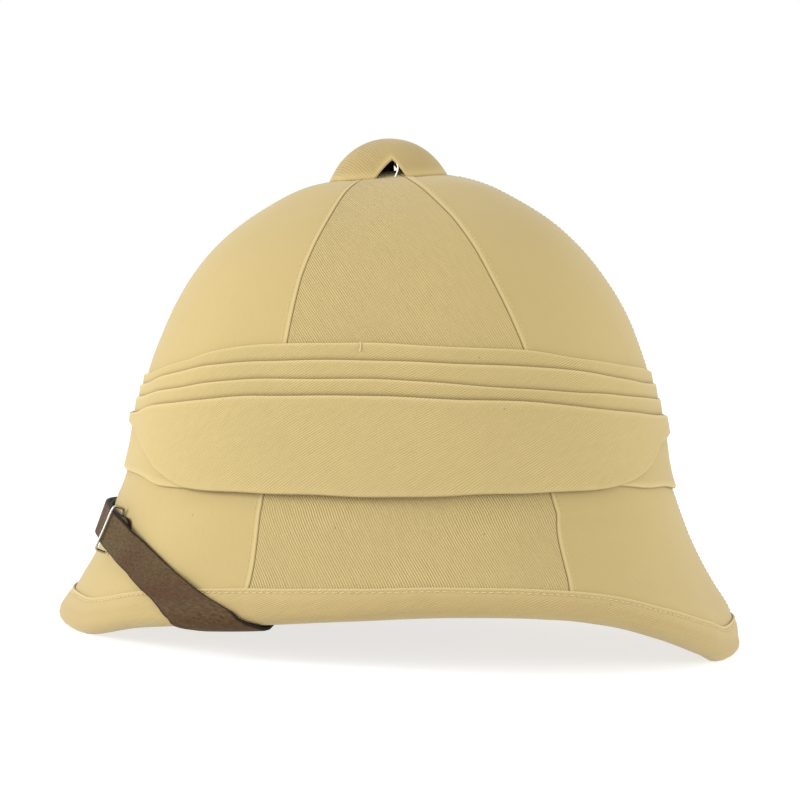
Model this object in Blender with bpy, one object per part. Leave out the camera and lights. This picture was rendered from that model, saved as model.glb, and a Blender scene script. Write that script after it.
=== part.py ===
"""A pith sun helmet: moulded shell, bound brim, wound puggaree, ventilator and leather chin strap.

The front of the helmet faces -Y and the wearer's left side +X. It stands on the front and the back of its
brim, on the plane Z = 0, with the middle of the brim over the origin. All lengths are in metres.
"""

import functools
import math

import bmesh
import bpy
import numpy as np

# Brim, measured over its binding.
BRIM_LENGTH = 0.320
BRIM_WIDTH = 0.258
BRIM_WALL = 0.0085
SIDE_RISE = 0.0253  # how far the brim's edge lifts off the floor at its sides
EDGE_SLOPE = math.radians(63)  # how steeply the brim falls where it ends
EDGE_SQUARENESS = 2.6  # 2 is a half circle, more is a fuller edge

# Crown, measured on its outer skin at the base ring, where the brim begins.
CROWN_LENGTH = 0.2596
CROWN_WIDTH = 0.2136
CROWN_MIDDLE = -0.0022  # the crown's centre lies forward of the brim's
CROWN_WALL = 0.006
BASE_HEIGHT = 0.0683
CROWN_RISE = 0.1488
WALL_GROWS_FROM = -2  # the section, counted from the base ring, where the wall starts to thicken
WALL_GROWS_OVER = 5

# Cloth and fit.
CLEARANCE = 0.0003
BINDING_THICKNESS = 0.001
BINDING_OUTSIDE = 0.0175  # depth of the strip on the outside, from the tip of the edge
BINDING_INSIDE = 0.013
REST_FLAT = 0.0006  # how much the cloth edge is pressed flat where the helmet stands

# Puggaree. Its lines are heights in the table below, as shares of its depth at the side.
PUGGAREE_BOTTOM = 0.0726
PUGGAREE_DEPTH = 0.066
PLEAT_WALL = 0.001
PLEAT_STEP = 0.0005  # how much further out each lower pleat lies
FOLD_ROLL = 0.0011  # height of the rounded top of a fold
WRAP_WALL = 0.0012
WRAP_EASE = 0.0005  # how loosely the wrap lies over the pleats

# Ventilator.
VENT_HOLE_RADIUS = 0.009
CAP_RADIUS = 0.0272
CAP_HEIGHT = 0.0152  # above the top of the vent hole
CAP_WALL = 0.0018
RIM_SLOPE = math.radians(66)  # how steeply the dome stands at its rim
ARCH_PEAK = 0.0030  # how far the arch's peak lies behind the cap's middle
ARCH_FRONT = 0.0092  # from the peak to the arch's front foot
ARCH_BACK = 0.0058
ARCH_HEIGHT = 0.0088
ARCH_BULGE = 0.55  # 0 has straight sides, more has rounder ones
POST_RADIUS = 0.003
BRIDGE_LENGTH = 0.026  # the bar under the hole that the post is fixed to
BRIDGE_WIDTH = 0.008
BRIDGE_THICKNESS = 0.0015

# Chin strap.
STRAP_WIDTH = 0.016
STRAP_THICKNESS = 0.0018
SLIDE_WIRE = 0.00065  # radius of the wire
SLIDE_WIDTH = 0.0226  # across the strap, between the wire's middles
SLIDE_AZIMUTH = 21.0
BINDING_RAMP = 0.005  # length in which the strap climbs onto the binding
WIRE_RAMP = (1.5, 6.0)  # degrees beside the slide where the strap starts to come down, and how many it takes
LAP_RAMP = (2.0, 7.0)  # the same past the end of the other half
STUD_KNOT = 13  # the route's point where the stud holds the strap
STUD_RADIUS = 0.0045
STUD_HEAD = 0.0015
STUD_HEAD_PROFILE = ((1.0, 0.0), (1.0, 0.4), (0.7, 0.9), (0.0, 1.0))  # shares of its radius and its height
SHANK_RADIUS = 0.0015
SHANK_DEPTH = 0.004  # into the wall

SEGMENTS = 60
CAP_SEGMENTS = 32
WIRE_SIDES = 6
STUD_SIDES = 12
ARCH_STEPS = 5
CAP_RINGS = (0.9, 0.75, 0.58, 0.4, 0.22, 0.08, 0.0)  # shares of the way from the rim to the top
CAP_INNER_RINGS = (0.0, 0.15, 0.4, 0.65, 0.88)
STRAP_STEP = 0.0066
KNOT_STEP = 0.02  # a short step along the strap's route
ROUTE_SAMPLES = 281
TURN_ZONE = 0.013  # the strap's lines follow the edge this near its tip
TURN_FADE = 0.0195
TURN_DETAIL = 1.6
TURN_STEP = 0.5  # degrees and rows between the places that a slope is read from
ROW_STEP = 0.2
SLOPE_STEP = 0.0005
SHARP_ANGLE = math.radians(40)

# The crown from its top to its base ring. Reaches are shares of half its length or width, counted from its
# centre, and heights are shares of its rise above the base ring.
CROWN_COLUMNS = ("front", "front_height", "back", "back_height", "side")
CROWN_SECTIONS = (
    (0.103, 1.000, -0.103, 1.000, 0.000),
    (0.203, 0.985, -0.002, 1.004, 0.108),
    (0.303, 0.957, 0.102, 0.997, 0.216),
    (0.395, 0.934, 0.210, 0.983, 0.308),
    (0.484, 0.894, 0.314, 0.952, 0.408),
    (0.606, 0.820, 0.478, 0.876, 0.566),
    (0.706, 0.740, 0.600, 0.790, 0.690),
    (0.785, 0.650, 0.695, 0.696, 0.776),
    (0.847, 0.550, 0.772, 0.597, 0.835),
    (0.892, 0.450, 0.830, 0.492, 0.878),
    (0.928, 0.350, 0.879, 0.378, 0.908),
    (0.957, 0.220, 0.925, 0.232, 0.943),
    (0.976, 0.095, 0.955, 0.105, 0.970),
    (1.000, 0.000, 1.000, 0.000, 1.000),
)

# The brim from the base ring to its edge: how far down each section lies and how far out, as shares.
BRIM_COLUMNS = ("drop", "front_out", "side_out", "back_out")
BRIM_SECTIONS = (
    (0.133, 0.115, 0.113, 0.111),
    (0.283, 0.218, 0.235, 0.248),
    (0.450, 0.344, 0.385, 0.431),
    (0.615, 0.504, 0.570, 0.641),
    (0.762, 0.691, 0.768, 0.850),
    (0.890, 0.847, 0.905, 0.961),
    (1.000, 1.000, 1.000, 1.000),
)

# The lift of the brim's edge round the helmet, as a share of the rise at the side. Azimuth 0 is the front.
LIFT_COLUMNS = ("azimuth", "lift")
EDGE_LIFT = (
    (0, 0.00),
    (21, 0.00),
    (43, 0.37),
    (54, 0.52),
    (67, 0.66),
    (82, 0.84),
    (98, 0.98),
    (107, 1.00),
    (116, 0.97),
    (126, 0.85),
    (137, 0.60),
    (152, 0.20),
    (161, 0.00),
    (180, 0.00),
)

# The puggaree's lines round the helmet: the top edge, the two pleats below it, the top and the bottom of the
# wide wrap, and the bottom of the cloth under it, all as shares of the puggaree's depth above its bottom.
LINE_COLUMNS = ("azimuth", "top", "pleat_1", "pleat_2", "wrap_top", "wrap_bottom", "under_bottom")
PUGGAREE_LINES = (
    (0, 0.665, 0.590, 0.503, 0.390, 0.330, -0.006),
    (15, 0.695, 0.615, 0.530, 0.408, 0.300, 0.000),
    (25, 0.747, 0.680, 0.576, 0.471, 0.192, -0.014),
    (35, 0.812, 0.732, 0.618, 0.510, 0.047, -0.050),
    (44, 0.885, 0.789, 0.665, 0.552, -0.052, -0.045),
    (60, 0.956, 0.843, 0.722, 0.607, -0.031, 0.000),
    (90, 1.000, 0.888, 0.763, 0.652, 0.000, 0.030),
    (115, 1.000, 0.887, 0.740, 0.650, 0.053, 0.080),
    (135, 0.948, 0.861, 0.719, 0.614, 0.081, 0.105),
    (150, 0.912, 0.815, 0.695, 0.583, 0.190, 0.081),
    (162, 0.889, 0.783, 0.678, 0.561, 0.371, 0.066),
    (180, 0.848, 0.768, 0.661, 0.538, 0.425, 0.030),
)

# Half of the chin strap, from its end past the front to its stud. Along is a share of the brim's slope at
# that azimuth: -1 is the base ring outside, 0 the tip of the edge and 1 the base ring inside.
STRAP_COLUMNS = ("azimuth", "along")
STRAP_ROUTE = (
    (-28, -0.66),
    (-10, -0.705),
    (10, -0.715),
    (22, -0.67),
    (31, -0.57),
    (39, -0.445),
    (47, -0.29),
    (53, -0.165),
    (58, -0.06),
    (63, 0.06),
    (68, 0.27),
    (73.5, 0.56),
    (78, 0.80),
    (81, 0.98),
    (82, 1.08),
)

# Finishes: linear colours and roughness.
KHAKI = (0.56, 0.44, 0.23)
BROWN_LEATHER = (0.12, 0.055, 0.03)
NICKEL = (0.62, 0.60, 0.54)
DARK_IRON = (0.05, 0.035, 0.025)
CLOTH_ROUGHNESS = 0.9
LEATHER_ROUGHNESS = 0.6
METAL_ROUGHNESS = 0.35


def column(table, columns, name):
    """One named column of a table."""
    return np.array([row[columns.index(name)] for row in table], dtype=float)


def through_rows(values):
    """A smooth curve through values that lie one step apart: knots, values and slopes."""
    knots = np.arange(len(values))
    return knots, values, np.gradient(values, axis=0)


def smooth(curve, at):
    """The value of a smooth curve at one place."""
    knots, values, slopes = curve
    step = min(max(int(np.searchsorted(knots, at)) - 1, 0), len(knots) - 2)
    span = knots[step + 1] - knots[step]
    t = (at - knots[step]) / span
    start = (1 + 2 * t) * (1 - t) ** 2 * values[step] + t * (1 - t) ** 2 * span * slopes[step]
    end = t * t * (3 - 2 * t) * values[step + 1] + t * t * (t - 1) * span * slopes[step + 1]
    return start + end


def ease(share):
    """0 below 0, 1 above 1 and a soft step between."""
    share = min(max(share, 0.0), 1.0)
    return share * share * (3 - 2 * share)


@functools.lru_cache(maxsize=None)
def round_curve(table, columns, name):
    """A column as a curve over the azimuth that is level at the front, at the back and at its own peaks."""
    knots = column(table, columns, "azimuth")
    values = column(table, columns, name)
    rates = np.diff(values) / np.diff(knots)
    slopes = np.zeros(len(values))
    for index in range(1, len(values) - 1):
        before, after = rates[index - 1], rates[index]
        if before * after > 0:
            slopes[index] = 2 * before * after / (before + after)
    return knots, values, slopes


def round_helmet(table, columns, name, azimuth):
    """A column's value at an azimuth of either side."""
    azimuth = abs((azimuth + 180) % 360 - 180)
    return float(smooth(round_curve(table, columns, name), azimuth))


def edge_offset(turn):
    """How far out and up from the edge's middle its rounded surface lies, as turn goes from 0 to 180."""
    turn = math.radians(turn)
    power = 2 / EDGE_SQUARENESS
    across = math.copysign(abs(math.cos(turn)) ** power, math.cos(turn)) * BRIM_WALL / 2
    beyond = abs(math.sin(turn)) ** power * BRIM_WALL / 2
    out = across * math.sin(EDGE_SLOPE) + beyond * math.cos(EDGE_SLOPE)
    up = across * math.cos(EDGE_SLOPE) - beyond * math.sin(EDGE_SLOPE)
    return out, up


EDGE_TURNS = (36, 72, 108, 144)
EDGE_SAMPLES = [edge_offset(turn) for turn in range(0, 181, 3)]
COVER = CLEARANCE + BINDING_THICKNESS
EDGE_INSET = max(out for out, up in EDGE_SAMPLES) + COVER  # the edge's middle, inward of the brim's outline
EDGE_CENTRE = -min(up for out, up in EDGE_SAMPLES) + COVER - REST_FLAT  # and its height where the brim stands

BASE_ROW = len(CROWN_SECTIONS) - 1
END_ROW = BASE_ROW + len(BRIM_SECTIONS)
TIP_ROW = END_ROW + (len(EDGE_TURNS) + 1) / 2
TURNED_ROW = END_ROW + len(EDGE_TURNS) + 1
INNER_ROWS = (END_ROW - 1, END_ROW - 3, END_ROW - 5, BASE_ROW, 10, 7, 4, 2)
INNER_BASE_ROW = TURNED_ROW + 1 + INNER_ROWS.index(BASE_ROW)
SLOPE_SAMPLES = 8 * (INNER_BASE_ROW - BASE_ROW + 2) + 1
PUGGAREE_ROWS = (BASE_ROW - 5, BASE_ROW + 3)  # the sections between which the puggaree lies
PUGGAREE_SAMPLES = 81


def edge_reaches(turn):
    """The front, back and side reach of a ring of the edge."""
    out = edge_offset(turn)[0] - EDGE_INSET
    return BRIM_LENGTH / 2 + out, BRIM_LENGTH / 2 + out, BRIM_WIDTH / 2 + out


def edge_height(azimuth, turn):
    """The height of a ring of the edge, which lifts off the floor at the sides."""
    lift = SIDE_RISE * round_helmet(EDGE_LIFT, LIFT_COLUMNS, "lift", azimuth)
    return EDGE_CENTRE + lift + edge_offset(turn)[1]


def ring_point(azimuth, front, back, side, height):
    """A point of an oval ring that is given by how far it reaches."""
    angle = math.radians(azimuth)
    y = (back - front) / 2 - (back + front) / 2 * math.cos(angle)
    return np.array((side * math.sin(angle), y, height))


def at_azimuth(curve_at, azimuth, row):
    """A point of a surface whose curves are kept for each whole degree."""
    low = math.floor(azimuth)
    share = azimuth - low
    near = smooth(curve_at(low % 360), row)
    if share == 0:
        return near
    return near + (smooth(curve_at((low + 1) % 360), row) - near) * share


@functools.lru_cache(maxsize=None)
def outer_curve(azimuth):
    """The outer skin at one azimuth, a point for each section from the top to the edge."""
    points = []
    toward_back = (1 - math.cos(math.radians(azimuth))) / 2
    for front, front_height, back, back_height, side in CROWN_SECTIONS:
        share = front_height + (back_height - front_height) * toward_back
        reach = (front * CROWN_LENGTH / 2 - CROWN_MIDDLE, back * CROWN_LENGTH / 2 + CROWN_MIDDLE)
        points.append(ring_point(azimuth, *reach, side * CROWN_WIDTH / 2, BASE_HEIGHT + CROWN_RISE * share))
    base = (CROWN_LENGTH / 2 - CROWN_MIDDLE, CROWN_LENGTH / 2 + CROWN_MIDDLE, CROWN_WIDTH / 2)
    edge = edge_reaches(0)
    drop_total = BASE_HEIGHT - edge_height(azimuth, 0)
    for drop, front_out, side_out, back_out in BRIM_SECTIONS:
        shares = (front_out, back_out, side_out)
        reach = [near + (far - near) * share for near, far, share in zip(base, edge, shares)]
        points.append(ring_point(azimuth, *reach, BASE_HEIGHT - drop * drop_total))
    return through_rows(np.array(points))


def skin(azimuth, row):
    """A point of the outer skin, where row counts the sections from the top."""
    return at_azimuth(outer_curve, azimuth, row)


def normal_of(surface, azimuth, row):
    """The direction out of a surface that is given by azimuth and row."""
    round_way = surface(azimuth + TURN_STEP, row) - surface(azimuth - TURN_STEP, row)
    down_way = surface(azimuth, row + ROW_STEP) - surface(azimuth, row - ROW_STEP)
    normal = np.cross(down_way, round_way)
    return normal / np.linalg.norm(normal)


def wall_at(row):
    """The thickness of the moulded wall, which grows from the crown to the brim."""
    return CROWN_WALL + (BRIM_WALL - CROWN_WALL) * ease((row - BASE_ROW - WALL_GROWS_FROM) / WALL_GROWS_OVER)


@functools.lru_cache(maxsize=None)
def hole_row():
    """The row whose ring has the vent hole's radius."""
    return VENT_HOLE_RADIUS / (CROWN_SECTIONS[1][CROWN_COLUMNS.index("side")] * CROWN_WIDTH / 2)


@functools.lru_cache(maxsize=None)
def wall_curve(azimuth):
    """The whole section of the shell: down the outside, round the edge and up the inside."""
    points = list(outer_curve(azimuth)[1])
    for turn in EDGE_TURNS + (180,):
        points.append(ring_point(azimuth, *edge_reaches(turn), edge_height(azimuth, turn)))
    for row in INNER_ROWS:
        points.append(skin(azimuth, row) - wall_at(row) * normal_of(skin, azimuth, row))
    return through_rows(np.array(points))


def shell_surface(azimuth, row):
    """A point of the shell's whole surface, outside and inside."""
    return at_azimuth(wall_curve, azimuth, row)


def over_shell(azimuth, row, offset):
    """A point that lies off the shell, outside or inside, by the offset."""
    return shell_surface(azimuth, row) + offset * normal_of(shell_surface, azimuth, row)


def over_facet(azimuth, row, offset):
    """The same between two whole rows, where the shell is flat."""
    low = math.floor(row)
    near = over_shell(azimuth, low, offset)
    return near + (over_shell(azimuth, low + 1, offset) - near) * (row - low)


@functools.lru_cache(maxsize=None)
def slope_lengths(azimuth):
    """Rows of the brim's section, with how far each lies from the tip of the edge."""
    rows = np.linspace(BASE_ROW - 1, INNER_BASE_ROW + 1, SLOPE_SAMPLES)
    points = np.array([shell_surface(azimuth, row) for row in rows])
    lengths = np.concatenate(([0.0], np.cumsum(np.linalg.norm(np.diff(points, axis=0), axis=1))))
    return rows, lengths - np.interp(TIP_ROW, rows, lengths)


def row_from_tip(azimuth, distance):
    """The row that lies a distance from the tip of the edge, negative outside and positive inside."""
    low = math.floor(azimuth)
    near, far = (np.interp(distance, *reversed(slope_lengths(degree % 360))) for degree in (low, low + 1))
    return float(near + (far - near) * (azimuth - low))


def row_at_height(azimuth, height):
    """The row where the outer skin has a height."""
    rows = np.linspace(*PUGGAREE_ROWS, PUGGAREE_SAMPLES)
    heights = [skin(azimuth, row)[2] for row in rows]
    return float(np.interp(-height, -np.array(heights), rows))


def stations():
    """Azimuths round the helmet, with the front and the back in the middle of a facet."""
    return [360 / SEGMENTS * (index + 0.5) for index in range(SEGMENTS)]


def finish_mesh(name, mesh_data, colour, roughness, metallic=0.0):
    """Turns a bmesh into a shaded object with its own material."""
    bmesh.ops.recalc_face_normals(mesh_data, faces=mesh_data.faces)
    mesh = bpy.data.meshes.new(name)
    mesh_data.to_mesh(mesh)
    mesh_data.free()
    mesh.shade_smooth()
    mesh.set_sharp_from_angle(angle=SHARP_ANGLE)
    material = bpy.data.materials.new(name)
    material.use_nodes = True
    shader = material.node_tree.nodes["Principled BSDF"]
    shader.inputs["Base Color"].default_value = (*colour, 1.0)
    shader.inputs["Roughness"].default_value = roughness
    shader.inputs["Metallic"].default_value = metallic
    mesh.materials.append(material)
    obj = bpy.data.objects.new(name, mesh)
    bpy.context.scene.collection.objects.link(obj)
    return obj


def add_split_quad(mesh_data, corners):
    """Two triangles that share the shorter diagonal, so that layers of cloth lie parallel."""
    one, two, three, four = corners
    if (one.co - three.co).length <= (two.co - four.co).length:
        mesh_data.faces.new((one, two, three))
        mesh_data.faces.new((one, three, four))
    else:
        mesh_data.faces.new((one, two, four))
        mesh_data.faces.new((two, three, four))


def lattice(loops, closed):
    """A skin over loops of points: closed joins the last loop to the first, open ends are capped."""
    mesh_data = bmesh.new()
    rings = [[mesh_data.verts.new(point) for point in loop] for loop in loops]
    count = len(rings)
    for index in range(count if closed else count - 1):
        near = rings[index]
        far = rings[(index + 1) % count]
        for corner in range(len(near)):
            after = (corner + 1) % len(near)
            add_split_quad(mesh_data, (near[corner], near[after], far[after], far[corner]))
    if not closed:
        mesh_data.faces.new(rings[0])
        mesh_data.faces.new(rings[-1])
    return mesh_data


def turned(profile, sides, frame):
    """A solid turned from (radius, height) points, whose first and last lie on the axis of the frame."""
    mesh_data = bmesh.new()
    rings = []
    for radius, height in profile[1:-1]:
        ring = []
        for index in range(sides):
            angle = 2 * math.pi * index / sides
            point = frame(radius * math.cos(angle), radius * math.sin(angle), height)
            ring.append(mesh_data.verts.new(point))
        rings.append(ring)
    ends = [mesh_data.verts.new(frame(0.0, 0.0, profile[place][1])) for place in (0, -1)]
    for near, far in zip(rings, rings[1:]):
        for index in range(sides):
            after = (index + 1) % sides
            mesh_data.faces.new((near[index], near[after], far[after], far[index]))
    for end, ring in zip(ends, (rings[0], rings[-1])):
        for index in range(sides):
            mesh_data.faces.new((end, ring[index], ring[(index + 1) % sides]))
    return mesh_data


def axis_frame(origin, axis, first):
    """A function that places (x, y, z) along first, across it and along the axis."""
    axis = np.array(axis) / np.linalg.norm(axis)
    first = np.array(first) - np.dot(first, axis) * axis
    first = first / np.linalg.norm(first)
    second = np.cross(axis, first)

    def place(x, y, z):
        return np.array(origin) + x * first + y * second + z * axis

    return place


def cut_with(obj, cutter, operation="DIFFERENCE"):
    """Cuts the cutter's shape out of the object, or joins it on, and hides the cutter."""
    cutter.hide_render = True
    cutter.display_type = "WIRE"
    modifier = obj.modifiers.new("cut_" + cutter.name, "BOOLEAN")
    modifier.operation = operation
    modifier.solver = "EXACT"
    modifier.object = cutter


def build_shell():
    """The moulded shell, with a hole at the top that goes straight through its wall."""
    rows = [hole_row()] + list(range(1, TURNED_ROW + len(INNER_ROWS) + 1))
    through_wall = wall_at(0) * vent_axis()
    loops = []
    for azimuth in stations():
        loop = [shell_surface(azimuth, row) for row in rows]
        loop.append(loop[0] - through_wall)
        loops.append(loop)
    return finish_mesh("shell", lattice(loops, True), KHAKI, CLOTH_ROUGHNESS)


def build_binding():
    """The strip of cloth that is turned over the brim's edge."""
    loops = []
    for azimuth in stations():
        outer_end = row_from_tip(azimuth, -BINDING_OUTSIDE)
        inner_end = row_from_tip(azimuth, BINDING_INSIDE)
        rows = [outer_end] + list(range(END_ROW - 1, TURNED_ROW + 1)) + [inner_end]
        loop = [over_facet(azimuth, row, COVER) for row in rows]
        loop += [over_facet(azimuth, row, CLEARANCE) for row in reversed(rows)]
        for point in loop:
            point[2] = max(point[2], 0.0)
        loops.append(loop)
    return finish_mesh("brim_binding", lattice(loops, True), KHAKI, CLOTH_ROUGHNESS)


def puggaree_height(azimuth, line):
    """The height of one of the puggaree's lines."""
    return PUGGAREE_BOTTOM + PUGGAREE_DEPTH * round_helmet(PUGGAREE_LINES, LINE_COLUMNS, line, azimuth)


def cloth_ring(name, inner, outer):
    """A band of cloth round the crown, from functions that give (height, offset) points at an azimuth."""
    loops = []
    for azimuth in stations():
        loop = []
        for height, offset in outer(azimuth) + list(reversed(inner(azimuth))):
            loop.append(over_shell(azimuth, row_at_height(azimuth, height), offset))
        loops.append(loop)
    return finish_mesh(name, lattice(loops, True), KHAKI, CLOTH_ROUGHNESS)


def build_pleats():
    """The puggaree's first layers: three pleats above the wide wrap, and the cloth that shows under it."""
    steps = [CLEARANCE + PLEAT_WALL + PLEAT_STEP * index for index in range(3)]

    def outer(azimuth):
        points = []
        below = CLEARANCE + PLEAT_WALL / 3
        for line, offset in zip(("top", "pleat_1", "pleat_2"), steps):
            height = puggaree_height(azimuth, line)
            points.append((height, below))
            points.append((height - FOLD_ROLL, offset))
            below = offset
        bottom = puggaree_height(azimuth, "under_bottom")
        points.append((skin(azimuth, BASE_ROW - 1)[2], steps[-1]))
        return points + [(bottom + FOLD_ROLL, steps[1]), (bottom, steps[0])]

    def inner(azimuth):
        top = puggaree_height(azimuth, "top")
        bottom = puggaree_height(azimuth, "under_bottom")
        upper, lower = (skin(azimuth, BASE_ROW - rows_up)[2] for rows_up in (2, 1))
        return [(height, CLEARANCE) for height in (top, (top + upper) / 2, upper, lower, bottom)]

    return cloth_ring("puggaree_pleats", inner, outer)


def build_wrap():
    """The puggaree's wide outer turn, which narrows to the front and to the back."""
    inside = CLEARANCE + PLEAT_WALL + PLEAT_STEP * 2 + WRAP_EASE
    outside = inside + WRAP_WALL

    def heights(azimuth):
        top = puggaree_height(azimuth, "wrap_top")
        bottom = puggaree_height(azimuth, "wrap_bottom")
        return top, (top + bottom) / 2, bottom

    def outer(azimuth):
        top, halfway, bottom = heights(azimuth)
        middle = (inside + outside) / 2
        face = [(height, outside) for height in (top - FOLD_ROLL, halfway, bottom + FOLD_ROLL)]
        return [(top, middle)] + face + [(bottom, middle)]

    def inner(azimuth):
        return [(height, inside) for height in heights(azimuth)]

    return cloth_ring("puggaree_wrap", inner, outer)


def vent_axis():
    """The direction out of the crown at the vent."""
    low = skin(0, 1)
    high = skin(180, 1)
    along = (high - low) / np.linalg.norm(high - low)
    return np.cross((1.0, 0.0, 0.0), along)


def crown_height(x, y):
    """The outer skin's height over a place near the top."""
    for row in np.arange(0.05, 5.0, 0.02):
        front = skin(0, row)[1]
        back = skin(180, row)[1]
        side = skin(90, row)[0]
        turn_x = x / side
        turn_y = (y - (front + back) / 2) / ((back - front) / 2)
        if turn_x ** 2 + turn_y ** 2 <= 1:
            return skin(math.degrees(math.atan2(turn_x, -turn_y)), row)[2]
    return BASE_HEIGHT


def vent_frame():
    """Places points round the vent's axis: x to the wearer's left, y to the back and z out of the crown."""
    return axis_frame(skin(0, 0), vent_axis(), (1.0, 0.0, 0.0))


def rim_height(frame, angle, radius):
    """Where the cap's rim meets the crown, along the vent's axis."""
    height = 0.0
    for _ in range(4):
        point = frame(radius * math.cos(angle), radius * math.sin(angle), height)
        height -= point[2] - crown_height(point[0], point[1])
    return height + CLEARANCE * 2


def dome(frame, radius, height, shares):
    """Rings of a dome from its rim to near its top, lists of points round the vent's axis."""
    angles = [2 * math.pi * index / CAP_SEGMENTS for index in range(CAP_SEGMENTS)]
    rims = [rim_height(frame, angle, radius) for angle in angles]
    rings = []
    for share in shares:
        slope = RIM_SLOPE * (1 - share)
        reach = radius * math.sin(slope) / math.sin(RIM_SLOPE)
        rise = (math.cos(slope) - math.cos(RIM_SLOPE)) / (1 - math.cos(RIM_SLOPE))
        ring = []
        for angle, rim in zip(angles, rims):
            up = rim + (height - rim) * rise
            ring.append(frame(reach * math.cos(angle), reach * math.sin(angle), up))
        rings.append(ring)
    return rings


def build_cap():
    """The domed cap over the vent hole, open at an arch on either side."""
    frame = vent_frame()
    outer = dome(frame, CAP_RADIUS, CAP_HEIGHT, CAP_RINGS)
    inner = dome(frame, CAP_RADIUS - CAP_WALL, CAP_HEIGHT - CAP_WALL, CAP_INNER_RINGS)
    mesh_data = bmesh.new()
    rings = [[mesh_data.verts.new(point) for point in ring] for ring in outer + inner]
    tops = [mesh_data.verts.new(frame(0, 0, height)) for height in (CAP_HEIGHT, CAP_HEIGHT - CAP_WALL)]
    for near, far in zip(rings, rings[1:]):
        for index in range(CAP_SEGMENTS):
            after = (index + 1) % CAP_SEGMENTS
            mesh_data.faces.new((near[index], near[after], far[after], far[index]))
    for top, ring in zip(tops, (rings[0], rings[-1])):
        for index in range(CAP_SEGMENTS):
            mesh_data.faces.new((top, ring[index], ring[(index + 1) % CAP_SEGMENTS]))
    cap = finish_mesh("ventilator_cap", mesh_data, KHAKI, CLOTH_ROUGHNESS)
    cut_with(cap, arch_cutter(frame))
    return cap


def arch_cutter(frame):
    """A bar with a pointed top that opens the cap at its left and its right."""
    foot = rim_height(frame, 0.0, CAP_RADIUS)
    outline = [(ARCH_PEAK - ARCH_FRONT, foot - ARCH_HEIGHT)]
    for step in range(-ARCH_STEPS, ARCH_STEPS + 1):
        aside = abs(step) / ARCH_STEPS
        up = ARCH_HEIGHT * (1 - aside) * (1 + ARCH_BULGE * aside)
        reach = ARCH_FRONT if step < 0 else ARCH_BACK
        outline.append((ARCH_PEAK + reach * step / ARCH_STEPS, foot + up))
    outline.append((ARCH_PEAK + ARCH_BACK, foot - ARCH_HEIGHT))
    past_cap = CAP_RADIUS + ARCH_HEIGHT
    loops = [[frame(end * past_cap, across, up) for across, up in outline] for end in (-1, 1)]
    return finish_mesh("guide_arch", lattice(loops, False), KHAKI, CLOTH_ROUGHNESS)


def build_post():
    """The post that holds the cap up, fixed to a bar across the under side of the vent hole."""
    frame = vent_frame()
    axis = vent_axis()
    rim = shell_surface(90, hole_row()) - wall_at(0) * axis
    ring = shell_surface(90, TURNED_ROW + len(INNER_ROWS))
    share = (BRIDGE_LENGTH / 2 - rim[0]) / (ring[0] - rim[0])
    seat = rim + (ring - rim) * share
    bar_top = float(np.dot(seat - skin(0, 0), axis)) - CLEARANCE
    post_top = CAP_HEIGHT - CAP_WALL - CLEARANCE
    middle = bar_top - BRIDGE_THICKNESS / 2
    profile = [(0, middle), (POST_RADIUS, middle), (POST_RADIUS, post_top), (0, post_top)]
    post = finish_mesh("ventilator_post", turned(profile, STUD_SIDES, frame), DARK_IRON, METAL_ROUGHNESS)
    half = BRIDGE_WIDTH / 2
    bar_bottom = bar_top - BRIDGE_THICKNESS
    corners = ((-half, bar_top), (half, bar_top), (half, bar_bottom), (-half, bar_bottom))
    loops = [[frame(end * BRIDGE_LENGTH / 2, *corner) for corner in corners] for end in (-1, 1)]
    bar = finish_mesh("guide_bridge", lattice(loops, False), DARK_IRON, METAL_ROUGHNESS)
    cut_with(post, bar, "UNION")
    return post


def slope_length(azimuth, inside):
    """The length of the brim's slope from the tip of its edge to the base ring."""
    base = INNER_BASE_ROW if inside else BASE_ROW
    low = math.floor(azimuth)
    near, far = (abs(np.interp(base, *slope_lengths(degree % 360))) for degree in (low, low + 1))
    return float(near + (far - near) * (azimuth - low))


def route_place(knot):
    """The azimuth and the distance from the edge's tip where the strap's middle line is."""
    azimuth = float(smooth(through_rows(column(STRAP_ROUTE, STRAP_COLUMNS, "azimuth")), knot))
    along = float(smooth(through_rows(column(STRAP_ROUTE, STRAP_COLUMNS, "along")), knot))
    return azimuth, along * slope_length(azimuth, along > 0)


def brim_place(azimuth, distance, offset):
    """A point off the brim at a distance from the tip of its edge."""
    return over_shell(azimuth, row_from_tip(azimuth, distance), offset)


def strap_frame(knot):
    """The route's place and how the azimuth and the distance change for each metre across the strap."""
    azimuth, distance = route_place(knot)
    ahead = route_place(knot + KNOT_STEP)
    near, far = (brim_place(azimuth + turn, distance, 0.0) for turn in (-TURN_STEP, TURN_STEP))
    round_way = (far - near) / (2 * TURN_STEP)
    upper, lower = (brim_place(azimuth, distance + step, 0.0) for step in (-SLOPE_STEP, SLOPE_STEP))
    down_way = (lower - upper) / (2 * SLOPE_STEP)
    tangent = round_way * (ahead[0] - azimuth) + down_way * (ahead[1] - distance)
    tangent = tangent / np.linalg.norm(tangent)
    normal = np.cross(down_way, round_way)
    square = np.cross(normal / np.linalg.norm(normal), tangent)
    # Where the strap turns round the edge, the lines across it run along the edge, so that it bends cleanly.
    along_edge = round_way / np.linalg.norm(round_way)
    along_edge = along_edge * math.copysign(1.0, float(np.dot(along_edge, square)))
    near_edge = 1 - ease((abs(distance) - TURN_ZONE) / TURN_FADE)
    across = square * (1 - near_edge) + along_edge * near_edge
    across = across / np.dot(across, square)
    shares = np.linalg.lstsq(np.column_stack((round_way, down_way)), across, rcond=None)[0]
    return azimuth, distance, shares, tangent


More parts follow.
